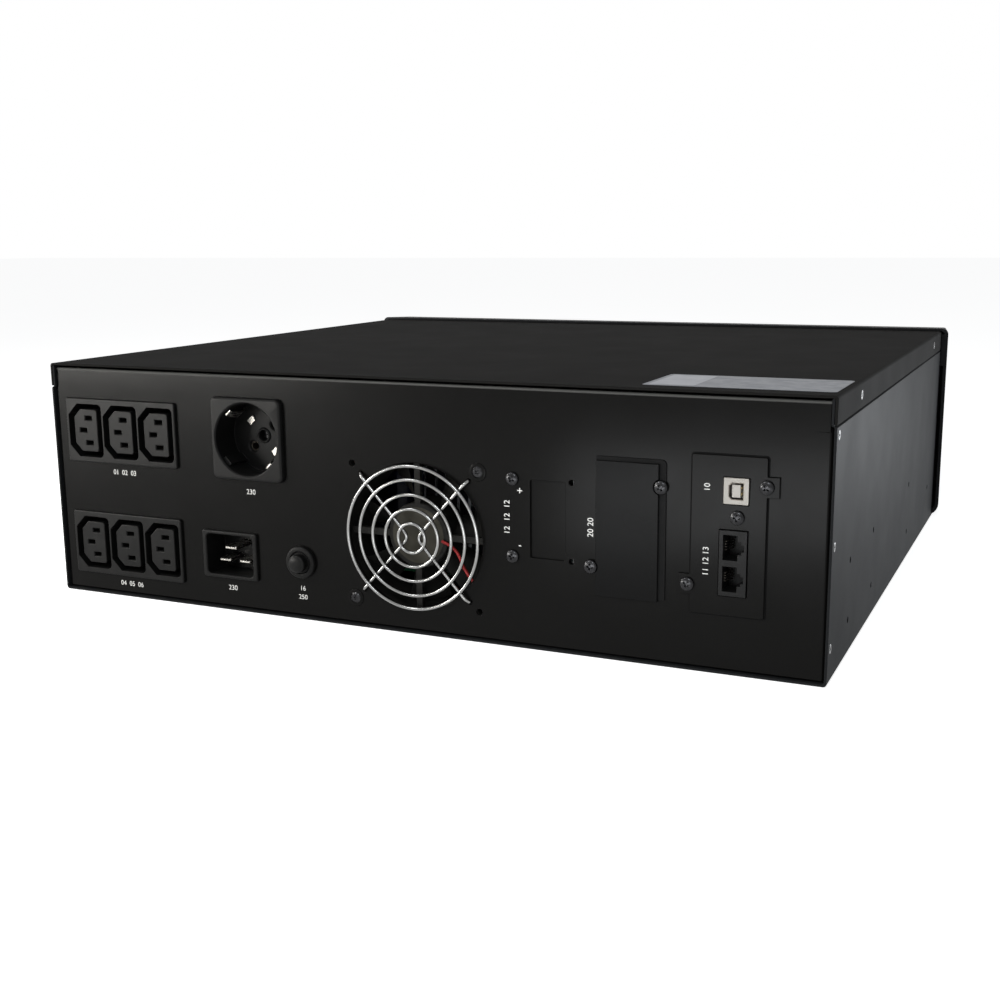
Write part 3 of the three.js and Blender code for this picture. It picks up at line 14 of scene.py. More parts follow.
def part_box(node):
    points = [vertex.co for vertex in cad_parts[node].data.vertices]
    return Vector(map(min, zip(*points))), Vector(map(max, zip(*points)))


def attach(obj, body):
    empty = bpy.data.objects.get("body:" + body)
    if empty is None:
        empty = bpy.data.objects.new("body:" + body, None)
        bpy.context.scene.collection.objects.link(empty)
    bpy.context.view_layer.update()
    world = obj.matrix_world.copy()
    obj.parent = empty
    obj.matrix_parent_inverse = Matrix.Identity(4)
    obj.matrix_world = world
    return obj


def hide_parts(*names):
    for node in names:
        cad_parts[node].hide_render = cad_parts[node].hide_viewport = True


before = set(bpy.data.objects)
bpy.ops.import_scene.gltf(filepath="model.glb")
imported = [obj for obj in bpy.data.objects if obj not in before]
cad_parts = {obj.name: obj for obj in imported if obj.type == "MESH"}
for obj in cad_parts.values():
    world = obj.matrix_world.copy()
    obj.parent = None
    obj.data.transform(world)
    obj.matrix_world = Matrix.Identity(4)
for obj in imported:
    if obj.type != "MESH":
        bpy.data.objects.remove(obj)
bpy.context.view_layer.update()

MM = 0.001
CASE, DRAWER, WHEEL, RESET = "case", "battery_drawer", "fan_wheel", "breaker_reset"

# ---------------------------------------------------------------- places, from the frame


def span(node, axis):
    """Lowest and highest value of a node along an axis, in millimetres."""
    low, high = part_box(node)
    return low[axis] / MM, high[axis] / MM


def middle(node, axis):
    low, high = span(node, axis)
    return (low + high) / 2


def centre_of(node):
    """Middle of a node as seen from behind, as (x, z)."""
    return middle(node, 0), middle(node, 2)


SHEET = 1.2
SLIP = 0.2
SIDE = span("chassis_base", 0)[1]
LIP = span("chassis_base", 1)[1]           # rear edge of the case
FRONT = span("chassis_base", 1)[0]
ROOF = span("top_cover", 2)[1]
FLANGE = span("top_cover", 2)[0]           # lower edge of the cover's side flanges
FACE = span("rear_panel", 1)[1]            # outer face of the socket panel
BACK = FACE - SHEET
FAN = (middle("fan_rotor", 0), middle("fan_frame", 2))
ROUND = centre_of("round_outlet")
INLET = centre_of("inlet_housing")
BREAKER = centre_of("breaker_nut")
PORT = centre_of("port_blank")
COMM = centre_of("comm_plate")
SLOT = (middle("slot_screw_lower", 0) - 18, middle("slot_cover", 2))
OUTLET_BANKS = ("outlet_bank_upper", "outlet_bank_lower")
PORT_SCREWS = ("port_screw_upper", "port_screw_lower")
SLOT_SCREWS = ("slot_screw_upper", "slot_screw_lower")
COMM_SCREWS = ("comm_screw_upper", "comm_screw_lower")
DISPLAY = centre_of("display_window")
BEZEL = span("front_bezel", 1)[0]          # front face of the bezel
SCREW_HOLE = 1.7                           # radius
FAN_SCREW = 35.75                          # from the fan's centre to its screws, along x and z
GUARD_FOOT = (30.6, 31)                    # from the fan's centre to the guard's feet
PORT_SPARE = 12.4                          # from the port's centre to its spare holes, along x
BANK_BODY = (73, 32.6)                     # socket bodies behind their flanges
ROUND_BODY = 21.3
INLET_BODY = (33, 25)
SOCKET_GAP = 0.3                           # about a body in its cut-out, on each side

# ---------------------------------------------------------------- outlines


def arc(a, b, radius, start, sweep, steps):
    """Points along an arc, with angles in degrees."""
    angles = [math.radians(start + sweep * step / steps) for step in range(steps + 1)]
    return [(a + radius * math.cos(angle), b + radius * math.sin(angle)) for angle in angles]


def rounded(width, height, radii, steps=6, centre=(0, 0)):
    """Rectangle with rounded corners: top right, top left, low left, low right."""
    a, b = centre
    half, tall = width / 2, height / 2
    points = []
    for quarter, (radius, right, top) in enumerate(zip(radii, (1, -1, -1, 1), (1, 1, -1, -1))):
        corner = (a + right * (half - radius), b + top * (tall - radius))
        points += arc(*corner, radius, 90 * quarter, 90, steps)
    return points


def circle(radius, sides, centre=(0, 0)):
    return arc(*centre, radius, 0, 360, sides)[:-1]


# ---------------------------------------------------------------- solids

PLACE = {
    "x": lambda a, b, t: (t, a, b),
    "y": lambda a, b, t: (a, t, b),
    "z": lambda a, b, t: (a, b, t),
}


def add_object(name, bm):
    bmesh.ops.recalc_face_normals(bm, faces=bm.faces)
    mesh = bpy.data.meshes.new(name)
    bm.to_mesh(mesh)
    bm.free()
    made = bpy.data.objects.new(name, mesh)
    bpy.context.scene.collection.objects.link(made)
    return made


def skin(rings, closed=False):
    """Skin through rings of points, with a cap at each end unless the rings close on themselves."""
    bm = bmesh.new()
    loops = [[bm.verts.new(point) for point in ring] for ring in rings]
    pairs = list(zip(loops, loops[1:])) + ([(loops[-1], loops[0])] if closed else [])
    for low, high in pairs:
        for step in range(len(low)):
            after = (step + 1) % len(low)
            bm.faces.new((low[step], low[after], high[after], high[step]))
    if not closed:
        bm.faces.new(loops[0])
        bm.faces.new(loops[-1])
    return add_object("skin", bm)


def prism(points, reach, axis="y"):
    """Outline pushed along an axis between two values."""
    return skin([[PLACE[axis](a, b, t) for a, b in points] for t in reach])


def block(x, y, z):
    """Box from its low and high value along each axis."""
    return prism([(x[0], z[0]), (x[1], z[0]), (x[1], z[1]), (x[0], z[1])], y)


def bar(centre, width, height, y):
    """Box centred on x and z."""
    x, z = centre
    return block((x - width / 2, x + width / 2), y, (z - height / 2, z + height / 2))


def rod(centre, radius, reach, sides=32, axis="y"):
    return prism(circle(radius, sides, centre), reach, axis)


def loft(layers, axis="y"):
    """Skin through outlines, each given with its value along the axis."""
    return skin([[PLACE[axis](a, b, t) for a, b in points] for points, t in layers])


def lathe(profile, centre, sides=48):
    """Solid turned about a line along Y. The profile lists (radius, y); a closed one makes a ring."""
    solid = profile[0][0] == 0
    outer = profile[1:-1] if solid else profile
    rings = [[(centre[0] + a * radius, y, centre[1] + b * radius) for a, b in circle(1, sides)]
             for radius, y in outer]
    return skin(rings, closed=not solid)


def wire(points, radius, closed=False, sides=5, steps=6):
    """Round wire on a smooth line through points."""
    curve = bpy.data.curves.new("wire", "CURVE")
    curve.dimensions = "3D"
    curve.bevel_depth = radius
    curve.bevel_resolution = sides
    curve.resolution_u = steps
    curve.use_fill_caps = True
    line = curve.splines.new("BEZIER")
    line.bezier_points.add(len(points) - 1)
    for knot, point in zip(line.bezier_points, points):
        knot.co = point
        knot.handle_left_type = knot.handle_right_type = "AUTO"
    line.use_cyclic_u = closed
    holder = bpy.data.objects.new("wire", curve)
    bpy.context.scene.collection.objects.link(holder)
    tube = solidified(holder)
    bm = bmesh.new()
    bm.from_mesh(tube.data)
    bpy.data.objects.remove(tube)
    bmesh.ops.remove_doubles(bm, verts=bm.verts, dist=1e-4)
    return add_object("wire", bm)


def solidified(holder):
    """Mesh object in place of a curve or text object, or of one with modifiers."""
    bpy.context.view_layer.update()
    mesh = bpy.data.meshes.new_from_object(holder.evaluated_get(bpy.context.evaluated_depsgraph_get()))
    mesh.transform(holder.matrix_world)
    made = bpy.data.objects.new("solid", mesh)
    bpy.context.scene.collection.objects.link(made)
    bpy.data.objects.remove(holder)
    return made


def combine(target, others, operation):
    for other in others:
        step = target.modifiers.new("combine", "BOOLEAN")
        step.operation = operation
        step.solver = "EXACT"
        step.object = other
    made = solidified(target)
    for other in others:
        bpy.data.objects.remove(other)
    return made


def carve(target, cutters):
    return combine(target, cutters, "DIFFERENCE")


def fuse(target, others):
    return combine(target, others, "UNION")


def gather(objects):
    """One object holding several separate solids."""
    bm = bmesh.new()
    for item in objects:
        bm.from_mesh(item.data)
        bpy.data.objects.remove(item)
    return add_object("gathered", bm)


def turned(item, degrees, centre):
    """Turned about a line along Y: a positive angle turns +X towards +Z."""
    x, z = centre
    about = Matrix.Translation((x, 0, z))
    item.data.transform(about @ Matrix.Rotation(-math.radians(degrees), 4, "Y") @ about.inverted())
    return item


def moved(item, x=0, y=0, z=0):
    item.data.transform(Matrix.Translation((x, y, z)))
    return item


def copied(item):
    twin = bpy.data.objects.new(item.name, item.data.copy())
    bpy.context.scene.collection.objects.link(twin)
    return twin


# ---------------------------------------------------------------- finishing

SMOOTH_ANGLE = math.radians(34)


def soften(item, width):
    """Rounded edges, as modifiers, with shading that keeps the flats flat."""
    if width:
        edge = item.modifiers.new("edges", "BEVEL")
        edge.width = width * MM
        edge.segments = 2
        edge.limit_method = "ANGLE"
        edge.angle_limit = SMOOTH_ANGLE
        edge.use_clamp_overlap = False
        edge.miter_outer = "MITER_ARC"
    weigh = item.modifiers.new("shading", "WEIGHTED_NORMAL")
    weigh.keep_sharp = True


def piece(item, name, body, material, stands_for=(), edge=0.15):
    """Scales a solid to metres and makes it a finished piece of the object."""
    item.name = item.data.name = name
    bm = bmesh.new()
    bm.from_mesh(item.data)
    bmesh.ops.remove_doubles(bm, verts=bm.verts, dist=1e-3)
    bmesh.ops.dissolve_degenerate(bm, edges=bm.edges, dist=1e-4)
    bmesh.ops.scale(bm, vec=(MM, MM, MM), verts=bm.verts)
    for face in bm.faces:
        face.smooth = True
    for link in bm.edges:
        link.smooth = len(link.link_faces) == 2 and link.calc_face_angle(0) < SMOOTH_ANGLE
    bm.to_mesh(item.data)
    bm.free()
    item.data.materials.clear()
    item.data.materials.append(material)
    soften(item, edge)
    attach(item, body)
    if stands_for:
        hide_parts(*stands_for)
    return item


def dress(node, material, edge=0.0):
    """Material on a node whose shape stays, with softened edges where it is a plain form."""
    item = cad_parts[node]
    item.data.materials.clear()
    item.data.materials.append(material)
    if edge:
        weld = item.modifiers.new("weld", "WELD")
        weld.merge_threshold = 0.01 * MM
        flat = item.modifiers.new("flats", "DECIMATE")
        flat.decimate_type = "DISSOLVE"
        flat.angle_limit = math.radians(1)
        soften(item, edge)


# ---------------------------------------------------------------- materials


class Look:
    """One procedural material: a principled shader, and short calls for its texture."""

    def __init__(self, name, color, roughness, metallic=0.0, specular=0.5, coat=0.0):
        self.material = bpy.data.materials.new(name)
        self.material.use_nodes = True
        self.tree = self.material.node_tree
        self.shader = self.tree.nodes["Principled BSDF"]
        self.set("Base Color", (*color, 1))
        self.set("Roughness", roughness)
        self.set("Metallic", metallic)
        self.set("Specular IOR Level", specular)
        self.set("Coat Weight", coat)
        self.height = None

    def set(self, socket, value):
        self.shader.inputs[socket].default_value = value

    def node(self, kind, **settings):
        made = self.tree.nodes.new(kind)
        for key, value in settings.items():
            if hasattr(made, key):
                setattr(made, key, value)
            else:
                made.inputs[key.replace("_", " ")].default_value = value
        return made

    def link(self, output, target):
        self.tree.links.new(output, target)

    def place(self, stretch=(1, 1, 1)):
        """Object coordinates in metres, stretched along an axis by a smaller number."""
        source = self.node("ShaderNodeTexCoord").outputs["Object"]
        mapping = self.node("ShaderNodeMapping")
        mapping.inputs["Scale"].default_value = stretch
        self.link(source, mapping.inputs["Vector"])
        return mapping.outputs["Vector"]

    def noise(self, size, detail=3.0, stretch=(1, 1, 1)):
        """Noise whose spots are about this many millimetres across."""
        made = self.node("ShaderNodeTexNoise", Scale=1 / (size * MM), Detail=detail)
        self.link(self.place(stretch), made.inputs["Vector"])
        return made.outputs["Fac"]

    def cells(self, size, feature="F1"):
        made = self.node("ShaderNodeTexVoronoi", Scale=1 / (size * MM), feature=feature)
        self.link(self.place(), made.inputs["Vector"])
        return made.outputs["Distance"]

    def bands(self, size, axis="Z"):
        """Straight stripes this many millimetres apart."""
        made = self.node("ShaderNodeTexWave", bands_direction=axis, wave_profile="SIN",
                         Scale=math.tau / (20 * size * MM))
        self.link(self.place(), made.inputs["Vector"])
        return made.outputs["Fac"]

    def mapped(self, value, low, high, start=0.3, end=0.7):
        made = self.node("ShaderNodeMapRange")
        made.inputs["From Min"].default_value = start
        made.inputs["From Max"].default_value = end
        made.inputs["To Min"].default_value = low
        made.inputs["To Max"].default_value = high
        self.link(value, made.inputs["Value"])
        return made.outputs["Result"]

    def tint(self, value, color, amount=1.0, start=0.3, end=0.7):
        """Base colour runs to another colour where the value is high."""
        mix = self.node("ShaderNodeMixRGB")
        before = self.shader.inputs["Base Color"]
        if before.links:
            self.link(before.links[0].from_socket, mix.inputs["Color1"])
        else:
            mix.inputs["Color1"].default_value = before.default_value
        mix.inputs["Color2"].default_value = (*color, 1)
        self.link(self.mapped(value, 0, amount, start, end), mix.inputs["Fac"])
        self.link(mix.outputs["Color"], before)
        return self

    def rough(self, value, low, high, start=0.3, end=0.7):
        self.link(self.mapped(value, low, high, start, end), self.shader.inputs["Roughness"])
        return self

    def relief(self, value, depth, strength=1.0):
        """Bump of this depth in millimetres, over any bump already there."""
        bump = self.node("ShaderNodeBump", Strength=strength, Distance=depth * MM)
        self.link(value, bump.inputs["Height"])
        if self.height:
            self.link(self.height, bump.inputs["Normal"])
        self.height = bump.outputs["Normal"]
        self.link(self.height, self.shader.inputs["Normal"])
        return self


def powder_coat(name, color, roughness, grain, specular=0.1, fold=None):
    """Fine-textured powder coat on sheet steel.

    With the height of a fold, a paler band painted along its top is a painted highlight, standing for the
    light on the fold.
    """
    look = Look(name, color, roughness, specular=specular)
    look.tint(look.noise(55, 3), tuple(value * 1.12 + 0.0006 for value in color), 0.5)
    look.tint(look.noise(grain * 1.3, 2), tuple(value * 1.7 for value in color), 0.35, 0.5, 0.8)
    look.rough(look.noise(30, 3), roughness - 0.02, roughness + 0.03)
    look.relief(look.noise(grain, 3), 0.03, 0.4)
    look.relief(look.cells(grain * 2.2), 0.025, 0.2)
    # painted highlight: with a fold height, a paler band is painted along the top of the fold
    if fold:
        parts = look.node("ShaderNodeSeparateXYZ")
        look.link(look.place(), parts.inputs["Vector"])
        look.tint(parts.outputs["Z"], (0.075, 0.075, 0.072), 1.0, (fold - 1.5) * MM, (fold - 0.9) * MM)
    return look.material


def moulded(name, color, roughness, grain=0.35, depth=0.02, specular=0.45):
    """Moulded plastic with a fine spark-eroded texture and a faint flow pattern."""
    look = Look(name, color, roughness, specular=specular)
    look.tint(look.noise(22, 3), tuple(value * 1.35 + 0.002 for value in color), 0.5)
    look.rough(look.noise(6, 4), roughness - 0.06, roughness + 0.06)
    look.relief(look.noise(grain, 2), depth, 0.5)
    return look.material


def plated(name, color, roughness, brush=(1, 1, 1), mark=0.3):
    """Bright metal with fine drawing marks along the stretched axis."""
    look = Look(name, color, roughness, metallic=1.0)
    look.tint(look.noise(5, 4), tuple(value * 0.82 for value in color), 0.6)
    look.rough(look.noise(1.2, 4, brush), roughness * 0.7, roughness * 1.5)
    look.relief(look.noise(mark, 3, brush), 0.006, 0.4)
    return look.material


def zinc_sheet():
    """Zinc-plated sheet with a soft mottle and rolling marks."""
    look = Look("zinc_sheet", (0.56, 0.57, 0.58), 0.36, metallic=1.0)
    look.tint(look.cells(9), (0.42, 0.43, 0.46), 0.5, 0.1, 0.8)
    look.tint(look.noise(30, 4), (0.62, 0.6, 0.55), 0.3)
    look.rough(look.noise(2, 4, (1, 0.08, 1)), 0.34, 0.42)
    look.relief(look.noise(0.5, 3, (1, 0.08, 1)), 0.01, 0.4)
    return look.material


def screw_black():
    look = Look("screw_black", (0.021, 0.021, 0.022), 0.28, metallic=0.9, specular=0.3)
    look.tint(look.noise(1.5, 3), (0.05, 0.05, 0.052), 0.6, 0.5, 0.75)
    look.rough(look.noise(0.8, 3), 0.2, 0.3)
    look.relief(look.noise(0.4, 3), 0.01, 0.35)
    return look.material


def circuit_green():
    """Solder resist with a faint pattern of tracks beneath it."""
    look = Look("circuit_green", (0.014, 0.075, 0.032), 0.34, specular=0.5, coat=0.25)
    tracks = look.node("ShaderNodeTexBrick", Scale=60.0)
    look.link(look.place(), tracks.inputs["Vector"])
    look.tint(tracks.outputs["Fac"], (0.03, 0.14, 0.06), 0.55, 0.1, 0.9)
    look.tint(look.noise(8, 2), (0.02, 0.1, 0.05), 0.4)
    look.relief(tracks.outputs["Fac"], 0.03, 0.3)
    return look.material


def winding():
    """Varnished tape over copper turns."""
    look = Look("winding", (0.36, 0.13, 0.04), 0.35, metallic=0.25, coat=0.4)
    look.tint(look.bands(1.6), (0.12, 0.035, 0.012), 0.8, 0.2, 0.9)
    look.tint(look.noise(12, 3), (0.5, 0.22, 0.08), 0.35)
    look.relief(look.bands(1.6), 0.25, 0.8)
    return look.material


def laminations():
    look = Look("laminations", (0.09, 0.095, 0.1), 0.5, metallic=0.7)
    look.tint(look.bands(0.9, "Y"), (0.03, 0.03, 0.034), 0.8, 0.2, 0.8)
    look.tint(look.noise(16, 4), (0.17, 0.12, 0.08), 0.3, 0.5, 0.8)
    look.relief(look.bands(0.9, "Y"), 0.1, 0.6)
    return look.material


def extruded():
    look = Look("extruded", (0.5, 0.51, 0.52), 0.38, metallic=1.0)
    look.rough(look.noise(1, 4, (1, 0.03, 1)), 0.3, 0.5)
    look.tint(look.noise(18, 3), (0.38, 0.39, 0.41), 0.5)
    look.relief(look.noise(0.5, 3, (1, 0.03, 1)), 0.02, 0.5)
    return look.material


def tinted_glass():
    look = Look("tinted_glass", (0.012, 0.016, 0.02), 0.06, specular=0.6, coat=0.6)
    look.rough(look.noise(20, 3), 0.04, 0.1)
    look.relief(look.noise(30, 2), 0.02, 0.2)
    return look.material


def display_panel():
    look = Look("display_panel", (0.16, 0.24, 0.2), 0.3, coat=0.5)
    look.tint(look.noise(30, 2), (0.2, 0.3, 0.24), 0.6)
    look.relief(look.noise(0.4, 1), 0.005, 0.2)
    return look.material


def foil(name, color, roughness):
    """Printed or plain foil, with the soft ripple of the sheet beneath."""
    look = Look(name, color, roughness, metallic=0.2, specular=0.25)
    look.tint(look.noise(14, 4), tuple(value * 0.86 for value in color), 0.6)
    look.rough(look.noise(5, 4), roughness - 0.07, roughness + 0.1)
    look.relief(look.noise(2.5, 3), 0.02, 0.35)
    return look.material


def print_white():
    look = Look("print_white", (0.66, 0.66, 0.64), 0.55)
    look.tint(look.noise(0.5, 3), (0.4, 0.4, 0.39), 0.5)
    look.relief(look.noise(0.3, 2), 0.01, 0.3)
    return look.material


def glow(name, color, strength):
    look = Look(name, color, 0.3, coat=0.5)
    look.set("Emission Color", (*color, 1))
    look.set("Emission Strength", strength)
    look.tint(look.noise(2, 2), tuple(value * 0.7 for value in color), 0.5)
    return look.material


COAT = powder_coat("powder_coat", (0.0112, 0.0117, 0.0124), 0.5, 0.55, 0.008)
# painted shade: the top cover's coat is a darker copy of the case's powder coat, darker because of how the
# light falls on the top
SHADED_COVER_COAT = powder_coat("cover_coat_painted_shade", (0.0085, 0.0083, 0.008), 0.8, 0.6, 0.02)
# panel coat with a painted highlight along the socket panel's top fold
PANEL = powder_coat("panel_coat", (0.0032, 0.0031, 0.0029), 0.21, 0.5, 0.05, span("rear_panel", 2)[1])
PLASTIC = moulded("socket_plastic", (0.0045, 0.0045, 0.0044), 0.36, specular=0.08)
FRONT_PLASTIC = moulded("bezel_plastic", (0.012, 0.0124, 0.0132), 0.5, 0.5, 0.03, 0.07)
FAN_PLASTIC = moulded("fan_plastic", (0.009, 0.0088, 0.008), 0.42, specular=0.08)
BATTERY_PLASTIC = moulded("battery_plastic", (0.045, 0.047, 0.052), 0.5, 0.6, 0.04)
CREAM = moulded("cream_plastic", (0.23, 0.215, 0.192), 0.38, 0.4, 0.01)
RED = moulded("red_plastic", (0.2, 0.012, 0.012), 0.4, 0.4, 0.01, 0.2)
CHROME = plated("chrome", (0.22, 0.22, 0.216), 0.17)
NICKEL = plated("nickel", (0.4, 0.385, 0.355), 0.24, (1, 0.1, 1))
BRASS = plated("brass", (0.72, 0.52, 0.2), 0.24, (1, 0.1, 1))
ZINC = zinc_sheet()
SCREW = screw_black()
BOARD = circuit_green()
COPPER = winding()
CORE = laminations()
SINK = extruded()
SLEEVE = moulded("capacitor_sleeve", (0.012, 0.016, 0.055), 0.22, 1.2, 0.01, 0.6)
GLASS = tinted_glass()
LCD = display_panel()
FOIL = foil("label_foil", (0.19, 0.2, 0.22), 0.5)
HUB_FOIL = foil("hub_foil", (0.019, 0.017, 0.011), 0.5)
PRINT = print_white()
PALE_FOIL = foil("pale_foil", (0.34, 0.35, 0.38), 0.45)
COVER_PLATE = powder_coat("cover_plate_coat", (0.0034, 0.0034, 0.0034), 0.25, 0.7, 0.04)
# painted shade: dark material for the sheet that stands in for the shadowed gap about the comm plate
COMM_GAP_SHADE = moulded("comm_gap_shade", (0.0028, 0.0028, 0.0028), 0.6, 0.5, 0.02, 0.03)
# painted shade: dark material for the sheet that stands in for the shadowed gap about the slot cover
SLOT_GAP_SHADE = moulded("slot_gap_shade", (0.0034, 0.0034, 0.0034), 0.5, 0.5, 0.02, 0.045)
PORT_METAL = plated("port_metal", (0.1, 0.088, 0.075), 0.36)
BUTTON = moulded("button_plastic", (0.03, 0.031, 0.033), 0.36, 0.6, 0.01)

# ---------------------------------------------------------------- case

BEND = 1.6
STRIP = SIDE - SHEET - SLIP                # outer face of the strip that the cover laps
STEP_LOW, STEP_HIGH = FLANGE - 1.2, FLANGE - 0.3
STRIP_TOP = ROOF - SHEET - 0.3
RAIL_HOLES = [(setback, height) for setback in (50, 119.3, 255.5) for height in (18, 47.8)] + [(355.3, 28.2)]
PANEL_SCREWS = [(6, height) for height in (16.5, 63.8, 114.2)]
COVER_SCREWS = [(62, 125.4), (351, 125.4)]


def side_rods(places, radius, inside=4):
    """Rods through both sides of the case, at setbacks from the rear lip."""
    return [rod((LIP - setback, height), radius, sorted((side * (SIDE - inside), side * (SIDE + 1))), 20, "x")
            for setback, height in places for side in (-1, 1)]


def case_shell():
    """Folded U of sheet with stepped sides; the drawer rails and board posts are made apart, in drawer_rails.
    """
    inner = SIDE - SHEET
    right = arc(SIDE - BEND, BEND, BEND, -90, 90, 6)
    right += [(SIDE, STEP_LOW), (STRIP, STEP_HIGH), (STRIP, STRIP_TOP), (STRIP - SHEET, STRIP_TOP)]
    right += [(STRIP - SHEET, STEP_HIGH), (inner, STEP_LOW)]
    right += arc(inner - BEND / 2, SHEET + BEND / 2, BEND / 2, 0, -90, 4)
    half = len(right)
    left = [(-x, z) for x, z in right]
    outer_turn = 7
    outline = left[outer_turn - 1::-1] + right[:half] + left[:outer_turn - 1:-1]
    shell = prism(outline, (FRONT, LIP))
    holes = side_rods(RAIL_HOLES, 1.6) + side_rods(PANEL_SCREWS + COVER_SCREWS, SCREW_HOLE)
    return carve(shell, [gather(holes)])


def drawer_rails():
    """Welded rails under the drawer, the tab behind it and the posts under the power board."""
    half = (span("power_board", 0)[1] - span("power_board", 0)[0]) / 2
    tray = (span("battery_1", 0)[0] - 1 - SHEET, span("battery_4", 0)[1] + 1 + SHEET)
    run = (FRONT + 1.5, span("drawer_plug", 1)[0])
    items = []
    for edge, side in ((tray[0], -1), (tray[1], 1)):
        ledge = sorted((edge - side * 15, edge + side * 1.9))
        lip = sorted((edge + side * 0.4, edge + side * 1.9))
        profile = [(ledge[0], SHEET), (ledge[1], SHEET), (ledge[1], 5.7), (ledge[0], 5.7)]
        items += [fuse(prism(profile, run), [block(lip, run, (SHEET, 21.2))])]
    plug = span("drawer_plug", 0)
    tab = span("drawer_receptacle", 1)[1]
    items.append(block(plug, (tab, tab + SHEET), (SHEET, span("drawer_plug", 2)[1])))
    posts = [(middle("power_board", 0) + side * (half - 8), y)
             for side in (-1, 1) for y in (span("power_board", 1)[0] + 8, span("power_board", 1)[1] - 8)]
    items += [rod(post, 4, (SHEET, span("power_board", 2)[0]), 6, "z") for post in posts]
    return gather(items)


def cover():
    inner = SIDE - SHEET
    right = [(inner, FLANGE), (SIDE, FLANGE)] + arc(SIDE - BEND, ROOF - BEND, BEND, 0, 90, 6)
    under = arc(inner - BEND / 2, ROOF - SHEET - BEND / 2, BEND / 2, 90, -90, 4)
    outline = right + [(-x, z) for x, z in reversed(right)]
    outline += [(-x, z) for x, z in reversed(under)] + under
    shell = prism(outline, (FRONT, LIP))
    return carve(shell, [gather(side_rods(COVER_SCREWS, SCREW_HOLE))])


def folded_panel():
    """Socket panel: a plate with a flange folded forwards down each side."""
    bend = 2
    tip = span("rear_panel", 1)[0]
    right = [(STRIP - SHEET, tip), (STRIP, tip)] + arc(STRIP - bend, FACE - bend, bend, 0, 90, 6)
    back = [(-x, y) for x, y in reversed(right)] + [(-STRIP + SHEET, BACK), (STRIP - SHEET, BACK)]
    low = span("rear_panel", 2)
    plate = prism(right + back, (low[0], STEP_LOW - SLIP), "z")
    narrow = STRIP - SHEET - 0.3
    top = low[1]
    roll = 1.4
    fold = arc(FACE - roll, top - roll, roll, 0, 90, 6) + [(tip + 4, top), (tip + 4, top - SHEET)]
    fold += arc(FACE - roll, top - roll, roll - SHEET, 90, -90, 4)
    fold = [(FACE, STEP_LOW - 2.4)] + fold + [(BACK, STEP_LOW - 2.4)]
    return fuse(plate, [prism(fold, (-narrow, narrow), "x")])


def four(across, up):
    return [(across, up), (-across, up), (-across, -up), (across, -up)]


def panel_cutters():
    reach = (BACK - 1, FACE + 1)
    bank, inlet_way = ([side + 2 * SOCKET_GAP for side in body] for body in (BANK_BODY, INLET_BODY))
    cutters = [bar(centre_of(node), *bank, reach) for node in OUTLET_BANKS]
    cutters += [
        rod(ROUND, ROUND_BODY + SOCKET_GAP, reach, 64),
        bar(INLET, *inlet_way, reach),
        rod(BREAKER, 6, reach, 32),
        rod(FAN, 38, reach, 128),
        prism(rounded(18.3, 38.7, [0.8] * 4, 3, PORT), reach),
        bar(centre_of("card_cage"), 25, 60, reach),
        bar(COMM, 29.6, 68.6, reach),
    ]
    cutters += [rod((FAN[0] + a, FAN[1] + b), SCREW_HOLE, reach, 20) for a, b in four(FAN_SCREW, FAN_SCREW)]
    cutters += [rod((FAN[0] + a, FAN[1] + b), 1.3, reach, 16) for a, b in four(*GUARD_FOOT)]
    for node in PORT_SCREWS:
        height = middle(node, 2)
        cutters += [rod((middle(node, 0), height), SCREW_HOLE, reach, 16),
                    rod((PORT[0] - PORT_SPARE, height), 1.4, reach, 20)]
    for node in SLOT_SCREWS + COMM_SCREWS:
        cutters.append(rod(centre_of(node), SCREW_HOLE, reach, 16))
    return cutters


def make_case():
    piece(case_shell(), "case_shell", CASE, COAT, ("chassis_base",), 0.12)
    piece(drawer_rails(), "drawer_rails", CASE, COAT, ("chassis_base",), 0.2)
    piece(cover(), "cover", CASE, SHADED_COVER_COAT, ("top_cover",), 0.15)
    panel = carve(folded_panel(), panel_cutters())
    piece(panel, "socket_panel", CASE, PANEL, ("rear_panel",), 0.25)


# ---------------------------------------------------------------- screws

RNG = random.Random(7)


def pan_screw(length=7):
    """Pan-head screw along Y with a cross recess, its head on y = 0."""
    dome = [(3.3 * math.cos(a), 0.75 + 1.15 * math.sin(a))
            for a in (math.radians(10 * step) for step in range(9))]
    profile = [(0, -length), (1.2, -length), (1.5, -length + 0.4), (1.5, 0), (3.1, 0), (3.3, 0.2)]
    head = lathe(profile + dome + [(0, 1.9)], (0, 0), 32)
    slot = [(-2, 2.2), (2, 2.2), (0.9, 0.7), (-0.9, 0.7)]
    cross = [prism(slot, (-0.42, 0.42), "z"), turned(prism(slot, (-0.42, 0.42), "z"), 90, (0, 0))]
    return carve(head, [fuse(cross[0], [cross[1]])])


def flat_screw(length=5):
    """Low screw with a cross recess, its head on y = 0."""
    profile = [(0, -length), (1.5, -length), (1.5, 0), (2.9, 0), (2.9, 0.35), (2.2, 0.9), (0, 1.05)]
    head = lathe(profile, (0, 0), 28)
    slot = [(-1.5, 1.3), (1.5, 1.3), (0.7, 0.1), (-0.7, 0.1)]
    cross = [prism(slot, (-0.35, 0.35), "z"), turned(prism(slot, (-0.35, 0.35), "z"), 90, (0, 0))]
    return carve(head, [fuse(cross[0], [cross[1]])])


def set_screw(model, name, place, stands_for=()):
    """Copy of a screw at (x, y, z) on the socket panel, turned to an angle of its own."""
    item = turned(copied(model), RNG.uniform(0, 90), (0, 0))
    x, y, z = place
    piece(moved(item, x, y, z), name, CASE, SCREW, stands_for, edge=0.06)


